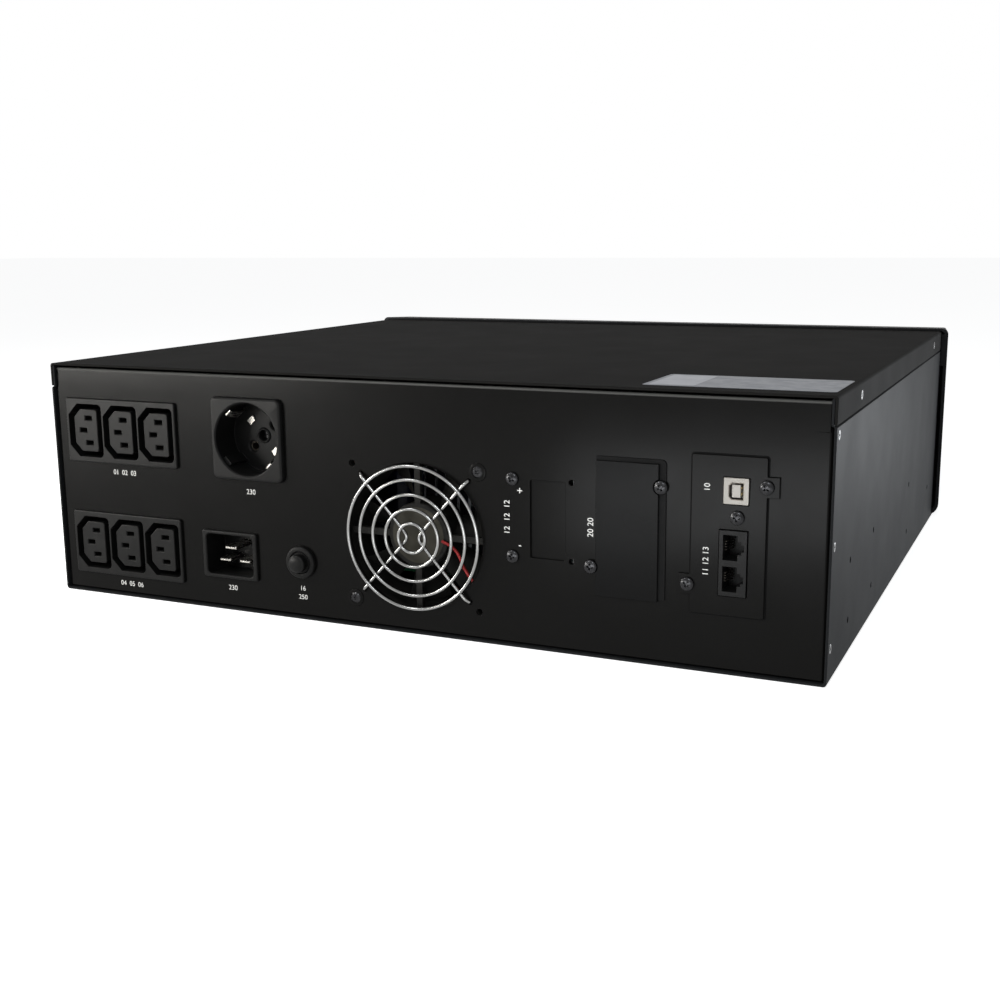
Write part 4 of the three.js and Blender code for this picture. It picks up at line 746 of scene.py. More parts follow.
def make_screws():
    model = pan_screw()
    for node in PORT_SCREWS + SLOT_SCREWS + COMM_SCREWS + ("comm_fixing_screw",):
        top = span(node, 1)[1]
        set_screw(model, node + "_head", (middle(node, 0), top - 1.9, middle(node, 2)), (node,))
    bpy.data.objects.remove(model)

    low = flat_screw()
    for name, side in (("fan_screw_high", -1), ("fan_screw_low", 1)):
        a, b = side * FAN_SCREW, -side * FAN_SCREW
        ring = lathe([(2.9, 0), (4.7, 0), (4.5, 0.4), (3.4, 0.55), (2.9, 0.5)], (0, 0), 40)
        washer = moved(ring, FAN[0] + a, FACE, FAN[1] + b)
        piece(washer, name + "_cup", CASE, PANEL, edge=0.05)
        set_screw(low, name, (FAN[0] + a, FACE, FAN[1] + b))
    for side, mark in ((-1, "right"), (1, "left")):
        for place, (setback, height) in enumerate(PANEL_SCREWS + COVER_SCREWS):
            item = turned(copied(low), RNG.uniform(0, 90), (0, 0))
            item.data.transform(Matrix.Translation((side * (SIDE - 0.85), LIP - setback, height))
                                @ Matrix.Rotation(-side * math.pi / 2, 4, "Z"))
            piece(item, f"side_screw_{mark}_{place + 1}", CASE, SCREW, edge=0.05)
    bpy.data.objects.remove(low)


# ---------------------------------------------------------------- sockets


def flange(centre, width, height, proud, bevel, radius=1.4):
    """Socket flange on the panel, with a rounded bevel about its outer face."""
    def ring(inset):
        return rounded(width - 2 * inset, height - 2 * inset, [max(radius - inset / 2, 0.5)] * 4, 6, centre)
    return loft([(ring(0), FACE), (ring(0), FACE + proud - bevel),
                 (ring(bevel * 0.3), FACE + proud - bevel * 0.3), (ring(bevel), FACE + proud)])


def outlet_outline(width, height, cut, radius, centre):
    """Outlet outline: two corners cut off on the earth side, two rounded."""
    x, z = centre
    right, top = width / 2, height / 2
    points = [(x + right, z + top - cut), (x + right - cut, z + top)]
    points += arc(x - right + radius, z + top - radius, radius, 90, 90, 6)
    points += arc(x - right + radius, z - top + radius, radius, 180, 90, 6)
    return points + [(x + right - cut, z - top), (x + right, z - top + cut)]


OUTLET_PROUD, OUTLET_DEPTH, OUTLET_PITCH = 1.8, 16, 24.5
SLOTS = [(2, 0), (-2, 7), (-2, -7)]
SLOT_WIDTH, SLOT_HEIGHT, SLOT_DEPTH = 4.6, 2.2, 12


def outlet_bank(node):
    centre = centre_of(node)
    face = FACE + OUTLET_PROUD
    places = [(centre[0] + step * OUTLET_PITCH, centre[1]) for step in (-1, 0, 1)]
    body = bar(centre, *BANK_BODY, (span(node, 1)[0], FACE + 0.6))
    whole = fuse(flange(centre, 76, 36.4, OUTLET_PROUD, 0.8), [body])
    mouths = [prism(outlet_outline(23.4, 30, 6.4, 2.6, place), (face - OUTLET_DEPTH, face + 1))
              for place in places]
    whole = carve(whole, [gather(mouths)])
    inserts, slots, contacts = [], [], []
    front = face - 0.4
    for place in places:
        wide = outlet_outline(16.4, 24, 4.6, 1.6, place)
        narrow = outlet_outline(15.8, 23.4, 4.4, 1.4, place)
        inserts.append(loft([(wide, face - OUTLET_DEPTH - 1), (wide, front - 0.3), (narrow, front)]))
        for across, up in SLOTS:
            spot = (place[0] + across, place[1] + up)
            slots.append(bar(spot, SLOT_WIDTH, SLOT_HEIGHT, (front - SLOT_DEPTH, face + 1)))
            slots.append(loft([(rounded(SLOT_WIDTH, SLOT_HEIGHT, [0.1] * 4, 2, spot), front - 0.5),
                               (rounded(SLOT_WIDTH + 1, SLOT_HEIGHT + 1, [0.3] * 4, 2, spot), front + 0.05)]))
            for side in (-1, 1):
                leaf = (spot[0], spot[1] + side * (SLOT_HEIGHT / 2 - 0.25))
                contacts.append(bar(leaf, SLOT_WIDTH - 0.8, 0.36, (front - SLOT_DEPTH + 0.2, front - 5.5)))
    plugs = carve(gather(inserts), [fuse(slots[0], slots[1:])])
    piece(fuse(whole, [plugs]), node + "_fine", CASE, PLASTIC, (node,), 0.14)
    piece(gather(contacts), node + "_contacts", CASE, BRASS, edge=0.04)


ROUND_TILT = -42                           # angle of the pins, from +X towards +Z
ROUND_PROUD, ROUND_RADIUS, ROUND_DEPTH = 3, 19.5, 17.5
ROUND_TOP = FACE + ROUND_PROUD
ROUND_FLOOR = ROUND_TOP - ROUND_DEPTH


def pair(item, angle, centre):
    """A piece and its twin half a turn round, both turned by an angle."""
    twin = turned(copied(item), angle + 180, centre)
    return [turned(item, angle, centre), twin]


def round_outlet():
    body = rod(ROUND, ROUND_BODY, (span("round_outlet", 1)[0], FACE + 0.6), 96)
    whole = fuse(flange(ROUND, 44.6, 44.6, ROUND_PROUD, 1.6, 3.4), [body])
    mouth = lathe([(0, ROUND_FLOOR), (ROUND_RADIUS, ROUND_FLOOR), (ROUND_RADIUS, ROUND_TOP - 0.7),
                   (ROUND_RADIUS + 0.7, ROUND_TOP + 0.05), (ROUND_RADIUS + 0.7, ROUND_TOP + 1),
                   (0, ROUND_TOP + 1)],
                  ROUND, 128)
    whole = carve(whole, [mouth])
    rib = block((ROUND[0] + ROUND_RADIUS - 1.6, ROUND[0] + ROUND_RADIUS + 0.6),
                (ROUND_FLOOR - 1, ROUND_TOP - 2.5),
                (ROUND[1] - 2.7, ROUND[1] + 2.7))
    whole = fuse(whole, pair(rib, ROUND_TILT, ROUND))
    centre = (ROUND[0] + 9.5, ROUND[1])
    pin = lathe([(0, ROUND_FLOOR - 13), (2.7, ROUND_FLOOR - 13), (2.7, ROUND_FLOOR - 0.7),
                 (3.5, ROUND_FLOOR + 0.02), (3.5, ROUND_FLOOR + 0.5), (0, ROUND_FLOOR + 0.5)], centre, 40)
    collar = lathe([(3.1, ROUND_FLOOR - 0.5), (4.2, ROUND_FLOOR - 0.5), (4.2, ROUND_FLOOR + 0.5),
                    (3.7, ROUND_FLOOR + 0.9), (3.1, ROUND_FLOOR + 0.9)], ROUND, 40)
    whole = fuse(carve(whole, pair(pin, ROUND_TILT, ROUND)), [collar])
    whole = carve(whole, [rod(ROUND, 2.9, (ROUND_FLOOR - 4, ROUND_FLOOR + 2), 40)])
    piece(whole, "round_outlet_fine", CASE, PLASTIC, ("round_outlet",), 0.16)
    sleeve = lathe([(2.1, ROUND_FLOOR - 12.5), (2.6, ROUND_FLOOR - 12.5), (2.6, ROUND_FLOOR - 1.6),
                    (2.1, ROUND_FLOOR - 1.6)], centre, 32)
    piece(gather(pair(sleeve, ROUND_TILT, ROUND)), "round_outlet_sleeves", CASE, PORT_METAL,
          edge=0.05)
    low = ROUND_FLOOR - 4
    screw = lathe([(0, low - 2), (1.4, low - 2), (1.4, low), (2.5, low), (2.5, low + 0.5), (1.9, low + 1.1),
                   (0, low + 1.2)], ROUND, 32)
    cut = bar(ROUND, 5.6, 0.7, (low + 0.55, low + 2))
    piece(carve(screw, [turned(cut, 20, ROUND)]), "round_outlet_screw", CASE, SCREW,
          edge=0.06)
    for node, angle in (("round_earth_clip_upper", 90), ("round_earth_clip_lower", -90)):
        earth_clip(node, ROUND_TILT + angle)


def earth_clip(node, angle):
    """Bowed spring strip beside the recess wall."""
    foot = ROUND_RADIUS - 1.1
    low, high = ROUND_FLOOR + 0.3, ROUND_TOP - 2.5
    steps = [step / 14 for step in range(15)]
    inner = [(foot - 2.6 * math.sin(math.pi * share) ** 0.8 * (1 - 0.15 * share) - 0.4 * share,
              low + (high - low) * share) for share in steps]
    inner = [(max(radius, foot - 2.6), y) for radius, y in inner]
    outer = [(radius + 0.8, y) for radius, y in reversed(inner)]
    points = [(ROUND[0] + radius, y) for radius, y in inner + outer]
    strip = prism(points, (ROUND[1] - 2, ROUND[1] + 2), "z")
    foot = lathe_sector(9.4, 12.6, (ROUND_FLOOR, ROUND_FLOOR + 0.9), 22)
    both = gather([strip, foot])
    piece(turned(both, angle, ROUND), node + "_fine", CASE, NICKEL, (node,), 0.12)


def lathe_sector(inner, outer, reach, degrees):
    """Part of a flat ring about the round outlet's axis, centred on +X."""
    points = arc(*ROUND, outer, -degrees / 2, degrees, 8) + arc(*ROUND, inner, degrees / 2, -degrees, 8)
    return prism(points, reach)


INLET_PROUD, INLET_DEPTH = 2, 17


def inlet():
    face = FACE + INLET_PROUD
    floor = face - INLET_DEPTH
    back = span("inlet_housing", 1)[0]
    body = bar(INLET, *INLET_BODY, (back, FACE + 0.6))
    whole = fuse(flange(INLET, 35.5, 26.6, INLET_PROUD, 0.9), [body])
    well = rounded(30, 22.4, [2.2] * 4, 6, INLET)
    rim = rounded(31, 23.4, [2.6] * 4, 6, INLET)
    mouth = loft([(well, floor), (well, face - 0.5), (rim, face + 0.02), (rim, face + 1)])
    blades = {"inlet_pin_earth": 1.0, "inlet_pin_line": 4.5, "inlet_pin_neutral": 4.5}
    ways = [bar(centre_of(node), 4.6, 2.6, (back - 1, floor + 1)) for node in blades]
    whole = carve(whole, [mouth] + ways)
    piece(whole, "inlet_housing_fine", CASE, PLASTIC, ("inlet_housing",), 0.14)
    for node, setback in blades.items():
        spot = centre_of(node)
        tip = face - setback

        def layer(width, height, y):
            return rounded(width, height, [min(width, height) * 0.12] * 4, 2, spot), y
        blade = loft([layer(8, 2, floor + 0.05), layer(8, 2, tip - 1.6), layer(7, 1.5, tip - 0.5),
                      layer(5.6, 0.8, tip)])
        tail = bar(spot, 4, 2, (span(node, 1)[0], floor + 0.5))
        piece(fuse(blade, [tail]), node + "_fine", CASE, NICKEL, (node,), 0.06)


def breaker():
    neck = rod(BREAKER, 5.7, (BACK - 1, FACE + 2.2), 48)
    body = bar(BREAKER, 15, 24, (span("breaker_body", 1)[0], BACK))
    way = rod(BREAKER, 2.9, (FACE - 17, FACE + 3.2), 32)
    piece(carve(fuse(neck, [body]), [way]), "breaker_case", CASE, PLASTIC, ("breaker_body",),
          0.15)
    nut = lathe([(6, FACE), (8.8, FACE), (8.8, FACE + 1.6), (8.6, FACE + 2.1), (8.1, FACE + 2.5),
                 (7.7, FACE + 2.6), (6.4, FACE + 2.6), (6, FACE + 2.3)], BREAKER, 64)
    piece(nut, "breaker_nut_fine", CASE, PLASTIC, ("breaker_nut",), 0.08)
    low = FACE + 2.8
    top = FACE + 7
    dome = [(4.9 * math.cos(a), top - 1.5 + 1.5 * math.sin(a))
            for a in (math.radians(9 * step) for step in range(10))]
    cap = lathe([(0, FACE - 16), (2.6, FACE - 16), (2.6, low), (4.9, low)] + dome + [(0, top)], BREAKER, 64)
    piece(cap, "breaker_cap", RESET, PLASTIC, ("breaker_button",), 0.06)


# ---------------------------------------------------------------- fan

FAN_BORE, FAN_HUB = 38, 17
FAN_BACK = span("fan_frame", 1)[1]
FAN_FRONT = span("fan_frame", 1)[0]
ARM_FACE = FAN_BACK - 2.4
ARM_BACK = ARM_FACE - 3


def fan_frame():
    square = rounded(80, 80, [4] * 4, 8, FAN)
    flanges = [prism(square, (FAN_FRONT, FAN_FRONT + 4)), prism(square, (FAN_BACK - 4, FAN_BACK))]
    duct = rod(FAN, 39.98, (FAN_FRONT + 1, FAN_BACK - 1), 96)
    whole = fuse(flanges[0], [flanges[1], duct])
    bore = lathe([(0, FAN_FRONT - 1), (FAN_BORE, FAN_FRONT - 1), (FAN_BORE, FAN_BACK - 1.2),
                  (FAN_BORE + 0.6, FAN_BACK), (FAN_BORE + 0.6, FAN_BACK + 1), (0, FAN_BACK + 1)], FAN, 128)
    holes = [rod((FAN[0] + a, FAN[1] + b), SCREW_HOLE, (FAN_FRONT - 1, FAN_BACK + 1), 20)
             for a, b in four(FAN_SCREW, FAN_SCREW)]
    notch = lead_path(1.05)
    whole = carve(whole, [bore, gather(holes), notch])
    plate = lathe([(0, ARM_BACK), (FAN_HUB, ARM_BACK), (FAN_HUB, ARM_FACE - 0.6), (FAN_HUB - 0.6, ARM_FACE),
                   (0, ARM_FACE)], FAN, 64)
    arm = block((FAN[0] + FAN_HUB - 1, FAN[0] + FAN_BORE + 1), (ARM_BACK, ARM_FACE),
                (FAN[1] - 1.7, FAN[1] + 1.7))
    arms = [turned(copied(arm), angle, FAN) for angle in (90, 180, 270)] + [arm]
    sleeve = rod(FAN, 4, (ARM_BACK - 10, ARM_FACE - 1), 32)
    whole = fuse(whole, [plate, gather(arms), sleeve])
    whole = carve(whole, [rod(FAN, 1.7, (ARM_BACK - 11, ARM_FACE - 1), 24)])
    piece(whole, "fan_housing", CASE, FAN_PLASTIC, ("fan_frame",), 0.16)
    label = lathe([(0, ARM_FACE), (14.6, ARM_FACE), (14.6, ARM_FACE + 0.14), (0, ARM_FACE + 0.14)], FAN, 64)
    piece(label, "fan_hub_label", CASE, HUB_FOIL, edge=0.04)


BLADES, BLADE_SWEEP = 7, 26


def fan_blade(start, low, high):
    """Cambered blade that twists from root to tip and leans forward."""
    layers = []
    for station in range(9):
        share = station / 8
        radius = FAN_HUB - 1 + (FAN_BORE - 1 - FAN_HUB + 1) * share
        lean = 9 * share * share
        chord = [step / 10 for step in range(11)]
        upper, lower = [], []
        for along in chord:
            angle = math.radians(start + lean * math.sin(math.pi * along) * 0.4 + BLADE_SWEEP * along)
            rise = low + (high - low) * along + 1.1 * math.sin(math.pi * along)
            half = 0.14 + 0.5 * math.sin(math.pi * min(1.0, 0.1 + along * 0.9)) * (1 - 0.3 * share)
            spot = (FAN[0] + radius * math.cos(angle), FAN[1] + radius * math.sin(angle))
            upper.append((spot[0], min(rise + half, high + 0.6), spot[1]))
            lower.append((spot[0], rise - half, spot[1]))
        layers.append(upper + lower[::-1])
    return skin(layers)


def fan_rotor():
    low, top = FAN_FRONT + 1, ARM_BACK - 1
    cup = lathe([(0, low), (FAN_HUB - 1.5, low), (FAN_HUB - 0.4, low + 0.4), (FAN_HUB, low + 1.5),
                 (FAN_HUB, top), (0, top)], FAN, 72)
    blades = [fan_blade(360 * place / BLADES, low + 1, top - 1.2) for place in range(BLADES)]
    whole = fuse(cup, [gather(blades)])
    hollow = rod(FAN, FAN_HUB - 1.6, (low + 1.6, top + 1), 72)
    whole = carve(whole, [hollow])
    whole = fuse(whole, [rod(FAN, 1.5, (low + 0.8, ARM_FACE - 2), 24)])
    piece(whole, "fan_wheel_fine", WHEEL, FAN_PLASTIC, ("fan_rotor",), 0)


def lead_path(radius):
    """Route of the fan's lead: from the motor plate out by a notch and down to the board."""
    y = ARM_FACE + 1.05
    x, z = FAN
    rear, top = span("power_board", 1)[1], span("power_board", 2)[1]
    route = [(x - 14, y, z - 1.5), (x - 21, y, z - 5), (x - 28, y, z - 17), (x - 34, y, z - 23),
             (x - 39, y, z - 25.5), (x - 43, y - 2, z - 27), (x - 44, y - 7, z - 29),
             (x - 44, y - 20, z - 33), (x - 43, rear + 16, top + 5),
             (x - 42, rear + 2, top + 3), (x - 42, rear - 8, top + 1.05)]
    return wire(route, radius, sides=4, steps=5)


GUARD_Y = FACE + 2.2
GUARD_RINGS = (37, 30, 22.4, 15, 7.6)
WIRE = 0.9


def fan_guard():
    parts = []
    for radius in GUARD_RINGS:
        section = [(radius + a, GUARD_Y + 1.4 + b) for a, b in circle(WIRE, 16)]
        parts.append(lathe(section, FAN, 128))
    x, z = FAN
    for side in (-1, 1):
        points = [(x + side * 30.6, BACK + 0.3, z + 31), (x + side * 30.6, FACE + 0.4, z + 31),
                  (x + side * 29.1, GUARD_Y, z + 29.5), (x + side * 7.1, GUARD_Y, z + 5.5),
                  (x + side * 2.6, GUARD_Y, z), (x + side * 7.1, GUARD_Y, z - 5.5),
                  (x + side * 29.1, GUARD_Y, z - 29.5), (x + side * 30.6, FACE + 0.4, z - 31),
                  (x + side * 30.6, BACK + 0.3, z - 31)]
        parts.append(wire(guard_line(points), WIRE, sides=6, steps=2))
    piece(gather(parts), "fan_guard_fine", CASE, CHROME, ("fan_guard",), 0)


def guard_line(points):
    """The cross wire's corners rounded: each is replaced by points on a curve."""
    knots = [Vector(point) for point in points]
    line = [knots[0]]
    for before, corner, after in zip(knots, knots[1:], knots[2:]):
        reach = min(3.2, (corner - before).length * 0.45, (after - corner).length * 0.45)
        start = corner + (before - corner).normalized() * reach
        end = corner + (after - corner).normalized() * reach
        for step in range(5):
            share = step / 4
            line.append(start.lerp(corner, share).lerp(corner.lerp(end, share), share))
    line.append(knots[-1])
    return line


# ---------------------------------------------------------------- plates and ports


def port_blank():
    plate = bar(PORT, 41, 50, (BACK - SHEET, BACK))
    holes = []
    for node in PORT_SCREWS:
        height = middle(node, 2)
        holes += [rod((middle(node, 0), height), SCREW_HOLE, (BACK - 3, BACK + 1), 20),
                  rod((PORT[0] - PORT_SPARE, height), 1.4, (BACK - 3, BACK + 1), 20)]
    piece(carve(plate, holes), "port_plate", CASE, PANEL, ("port_blank",), 0.1)


SLOT_PLATE, SLOT_SHADE_SHEET = (31, 66), (34.4, 67)


def slot_cover():
    """Cover plate on a thin dark sheet that shows along its top and its right side: painted shade, standing
    in for the shadowed gap about the plate.
    """
    main = bar((SLOT[0], SLOT[1] - 1), *SLOT_PLATE, (FACE + 0.6, FACE + 1.6))
    screws = [centre_of(node) for node in SLOT_SCREWS]
    lug = rod(screws[1], 3.3, (FACE, FACE + 0.8), 40)
    seats = [rod(screw, 3.6, (FACE + 0.8, FACE + 3), 40) for screw in screws]
    holes = [rod(screw, SCREW_HOLE, (FACE - 1, FACE + 3), 20) for screw in screws]
    whole = carve(fuse(main, [lug]), [gather(copied(item) for item in solids) for solids in (seats, holes)])
    piece(whole, "slot_plate", CASE, COVER_PLATE, ("slot_cover",), 0.3)
    # painted shade: a dark sheet behind the plate, standing in for the shadow in the gap along its top and
    # right side
    shade_sheet = prism(rounded(*SLOT_SHADE_SHEET, [0.5, 2.5, 0.5, 0.5], 6, (SLOT[0] - 1.7, SLOT[1] + 0.5)),
                    (FACE, FACE + 0.6))
    piece(carve(shade_sheet, [gather(holes)]), "slot_shade_sheet", CASE, SLOT_GAP_SHADE, edge=0.1)
    for seat in seats:
        bpy.data.objects.remove(seat)


COMM_TOP = FACE + 1.2
COMM_PLATE, COMM_SHADE_SHEET = (34.8, 74.7), (36.2, 76.1)
USB = (COMM[0] - 3.4, COMM[1] + 21.3)
JACK = (COMM[0] - 2.65, COMM[1] - 12.4)
USB_BODY, JACK_BODY = (11.5, 12.1), (12.9, 30.8)


def comm_plate():
    reach = (FACE + 0.3, COMM_TOP)
    plate = prism(rounded(*COMM_PLATE, [1] * 4, 4, COMM), reach)
    # painted shade: a dark sheet a little larger than the plate, standing in for the shadow in the gap about
    # it
    shade_sheet = prism(rounded(*COMM_SHADE_SHEET, [1.6] * 4, 4, COMM), (FACE, FACE + 0.3))
    tabs, holes = [], []
    for node, side in zip(COMM_SCREWS, (-1, 1)):
        height = middle(node, 2)
        inner, outer = COMM[0] + side * 15, COMM[0] + side * 23
        tabs.append(block(sorted((inner, outer)), (FACE, COMM_TOP), (height - 4.8, height + 4.8)))
        holes.append(rod((middle(node, 0), height), SCREW_HOLE, (FACE - 1, FACE + 2), 20))
    holes.append(rod(centre_of("comm_fixing_screw"), SCREW_HOLE, (FACE - 1, FACE + 2), 20))
    windows = [bar(USB, *(side + 0.6 for side in USB_BODY), (FACE - 1, FACE + 2)),
               bar(JACK, *(side + 0.6 for side in JACK_BODY), (FACE - 1, FACE + 2))]
    openings = [gather([copied(item) for item in windows + holes])]
    piece(carve(fuse(plate, tabs), windows + [gather(holes)]), "comm_face", CASE, PANEL, ("comm_plate",),
          0.25)
    piece(carve(shade_sheet, openings), "comm_shade_sheet", CASE, COMM_GAP_SHADE, edge=0.08)


def usb_port():
    """Square port with two corners cut off and a tongue with four contacts."""
    face = COMM_TOP + 0.5
    board = middle("comm_board", 0) - 0.8
    back = BACK - 0.3
    nose = prism(rounded(*USB_BODY, [0.4] * 4, 4, USB), (face - 15, face))
    body = block((USB[0] - 5.75, board), (face - 15, back), (USB[1] - 6.05, USB[1] + 6.05))
    mouth = prism(usb_outline(7, 8, 1.4), (face - 4.5, face + 1))
    whole = carve(fuse(nose, [body]), [mouth])
    tongue = bar(USB, 3.9, 5.8, (face - 5, face - 0.5))
    piece(fuse(whole, [tongue]), "usb_housing", CASE, CREAM, ("usb_port",), 0.12)
    lining = carve(prism(usb_outline(6.96, 7.96, 1.4), (face - 4.4, face - 0.2)),
                   [prism(usb_outline(6.5, 7.5, 1.3), (face - 10, face + 1))])
    piece(lining, "usb_shield", CASE, PORT_METAL, edge=0.03)
    pins = [block(sorted((USB[0] + side * 1.9, USB[0] + side * 2.1)), (face - 4.3, face - 1.6),
                  (USB[1] + up - 0.55, USB[1] + up + 0.55)) for side in (-1, 1) for up in (-1.3, 1.3)]
    piece(gather(pins), "usb_contacts", CASE, BRASS, edge=0.03)


def usb_outline(width, height, cut):
    x, z = USB
    right, top = width / 2, height / 2
    return [(x - right, z - top), (x + right - cut, z - top), (x + right, z - top + cut),
            (x + right, z + top - cut), (x + right - cut, z + top), (x - right, z + top)]


def modem_jacks():
    face = COMM_TOP + 0.8
    whole = bar(JACK, *JACK_BODY, (face - 16, face))
    mouths, contacts = [], []
    for side in (-1, 1):
        middle_z = JACK[1] + side * 7.4
        right = JACK[0] + 1.2 - 3.4
        reach = (face - 12.5, face + 1)
        mouths += [bar((JACK[0] + 1.2, middle_z), 6.8, 11.8, reach),
                   block((right - 1.6, right + 1), reach, (middle_z - 3, middle_z + 3)),
                   block((right - 2.9, right + 1), reach, (middle_z - 1.6, middle_z + 1.6))]
        for step in range(4):
            z = middle_z + (step - 1.5) * 1.27
            left = JACK[0] + 1.2 + 3.4
            profile = [(left - 0.05, face - 4.2), (left - 0.45, face - 4.2), (left - 2.6, face - 10.4),
                       (left - 2.2, face - 10.6)]
            contacts.append(prism(profile, (z - 0.28, z + 0.28), "z"))
    whole = carve(whole, [fuse(mouths[0], mouths[1:3]), fuse(mouths[3], mouths[4:])])
    piece(whole, "jack_housing", CASE, PLASTIC, ("modem_jacks",), 0.12)
    piece(gather(contacts), "jack_contacts", CASE, PORT_METAL, edge=0.03)


# ---------------------------------------------------------------- labels

UPRIGHT = Matrix(((-1, 0, 0, 0), (0, 0, 1, 0), (0, 1, 0, 0), (0, 0, 0, 1)))


def label(name, text, centre, height, face=None, quarter=0):
    """Plain printed number on the socket panel, read from behind."""
    curve = bpy.data.curves.new(name, "FONT")
    curve.body = text
    curve.size = height * 1.4
    curve.align_x, curve.align_y = "CENTER", "CENTER"
    curve.extrude = 0.02
    holder = bpy.data.objects.new(name, curve)
    bpy.context.scene.collection.objects.link(holder)
    item = solidified(holder)
    turn = Matrix.Rotation(math.radians(90 * quarter), 4, "Z")
    place = Matrix.Translation((centre[0], (face or FACE) + 0.03, centre[1]))
    item.data.transform(place @ UPRIGHT @ turn)
    piece(item, name, CASE, PRINT, edge=0)


def make_labels():
    upper, lower = middle("outlet_bank_upper", 0), middle("outlet_bank_lower", 0)
    label("label_outlets_upper", "01  02  03", (upper, 71.6), 2.8)
    label("label_round", "230", (ROUND[0], 66.8), 2.8)
    label("label_outlets_lower", "04  05  06", (lower, 7.1), 2.8)
    label("label_inlet", "230", (INLET[0], 12.2), 2.8)
    label("label_breaker_1", "16", (BREAKER[0], 16.6), 2.6)
    label("label_breaker_2", "250", (BREAKER[0], 11.8), 2.6)
    label("label_port", "12  12  12", (PORT[0] + 21.4, PORT[1]), 3, quarter=1)
    label("label_plus", "+", (PORT[0] + 14.6, PORT[1] + 13.4), 4)
    label("label_minus", "-", (PORT[0] + 14.6, PORT[1] - 13.4), 4)
    label("label_slot", "20 20", (SLOT[0] + 18.4, SLOT[1] - 1), 3, quarter=1)
    label("label_usb", "10", (COMM[0] + 10, USB[1] + 1), 2.8, COMM_TOP, 1)
    label("label_jacks", "11 12 13", (COMM[0] + 10, JACK[1]), 2.8, COMM_TOP, 1)


def make_sticker():
    """Blank rating label on the cover, with a paler strip down one side."""
    points = rounded(90, 48, [2] * 4, 6, (-172, 175.6))
    piece(prism(points, (ROOF, ROOF + 0.14), "z"), "top_sticker", CASE, FOIL, edge=0.04)
    strip = rounded(22, 42, [1] * 4, 4, (-140.5, 175.6))
    piece(prism(strip, (ROOF + 0.14, ROOF + 0.2), "z"), "top_sticker_strip", CASE, PALE_FOIL,
          edge=0.02)


# ---------------------------------------------------------------- bezel and drawer front

BEZEL_FACE = BEZEL + 3                     # inner side of the bezel's front wall
DOOR = centre_of("drawer_front")
DOOR_SIZE = tuple(span("drawer_front", axis)[1] - span("drawer_front", axis)[0] for axis in (0, 2))


def bezel_outline(side, end):
    """Outline of the bezel, drawn in at the sides and at top and bottom."""
    half, top, low = span("front_bezel", 0)[1], span("front_bezel", 2)[1], 0.6
    radii = [max(radius - side / 2, 1) for radius in (4, 4, 9, 9)]
    return rounded(2 * (half - side), top - low - 2 * end, radii, 6, (0, (top + low) / 2))


def vent_slots(centre, length, rows):
    """Cutters for level slots through a front wall, with round ends and a softened mouth."""
    def layer(more, height, y):
        return rounded(length + more, 2.6 + more, [1.29 + more / 2] * 4, 5, (centre, height)), y
    return gather([loft([layer(1.4, height, BEZEL - 0.2), layer(0, height, BEZEL + 0.8),
                         layer(0, height, BEZEL_FACE + 1)]) for height in rows])


def groove(width, height, radius, centre, wide=0.9, deep=0.6):
    """Shallow parting groove about a field of the front face."""
    reach = (BEZEL - 1, BEZEL + deep)
    inner = prism(rounded(width - 2 * wide, height - 2 * wide, [radius - wide] * 4, 6, centre),
                  (reach[0] - 1, reach[1] + 1))
    return carve(prism(rounded(width, height, [radius] * 4, 6, centre), reach), [inner])


def bezel():
    back = span("front_bezel", 1)[1]
    turn = [math.radians(15 * step) for step in range(7)]
    layers = [(bezel_outline(5 + 3 * (1 - math.sin(angle)), 1.5 + 1.5 * (1 - math.sin(angle))),
               BEZEL + 3 * (1 - math.cos(angle))) for angle in turn]
    shell = loft(layers + [(bezel_outline(0, 0), back)])
    inside = loft([(bezel_outline(10.2, 4.7), BEZEL_FACE), (bezel_outline(2.2, 1.7), back + 1)])
    room = block((-SIDE - 0.1, SIDE + 0.1), (FRONT - 0.1, back + 1), (-1, ROOF + 0.1))
    shell = carve(shell, [inside, room])
    corners = sorted((SIDE + 0.1, SIDE + 3.4))
    blocks = [block(sorted((side * corners[0], side * corners[1])), (FRONT, back), (ROOF - 24.2, ROOF - 2.2))
              for side in (-1, 1)]
    x, z = DISPLAY
    posts = [rod((x + across, up), 3, (BEZEL_FACE - 1, span("display_board", 1)[0]), 16)
             for across in (-52, 52) for up in (38, 112)]
    high, low = DOOR[1] + DOOR_SIZE[1] / 2 + 8, span("drawer_front", 2)[0] + 8
    posts += [rod(spot, 4, (BEZEL_FACE - 1, FRONT), 16)
              for spot in ((-SIDE + 12, high), (x - 60, high), (SIDE - 8, high), (SIDE - 8, low))]
    whole = fuse(shell, [gather(blocks), gather(posts)])
    through = (BEZEL - 1, BEZEL_FACE + 1)
    gap = 0.6
    door_way = prism(rounded(DOOR_SIZE[0] + 2 * gap, DOOR_SIZE[1] + 2 * gap, [0.6] * 4, 3, DOOR),
                     (BEZEL - 1, FRONT + 1))
    cutters = [door_way, bar(DISPLAY, 68.4, 40.4, (BEZEL - 1, BEZEL + 1.6)),
               bar(DISPLAY, 63.2, 35.2, through)]
    cutters += [rod(centre_of(node), 5.2, through, 56)
                for node in ("power_button", "select_button", "mute_button")]
    cutters.append(vent_slots(x, 104, [13 + 6 * row for row in range(5)]))
    cutters.append(groove(124, 80, 6, (x, 78)))
    piece(carve(whole, cutters), "bezel_shell", CASE, FRONT_PLASTIC, ("front_bezel",), 0.25)


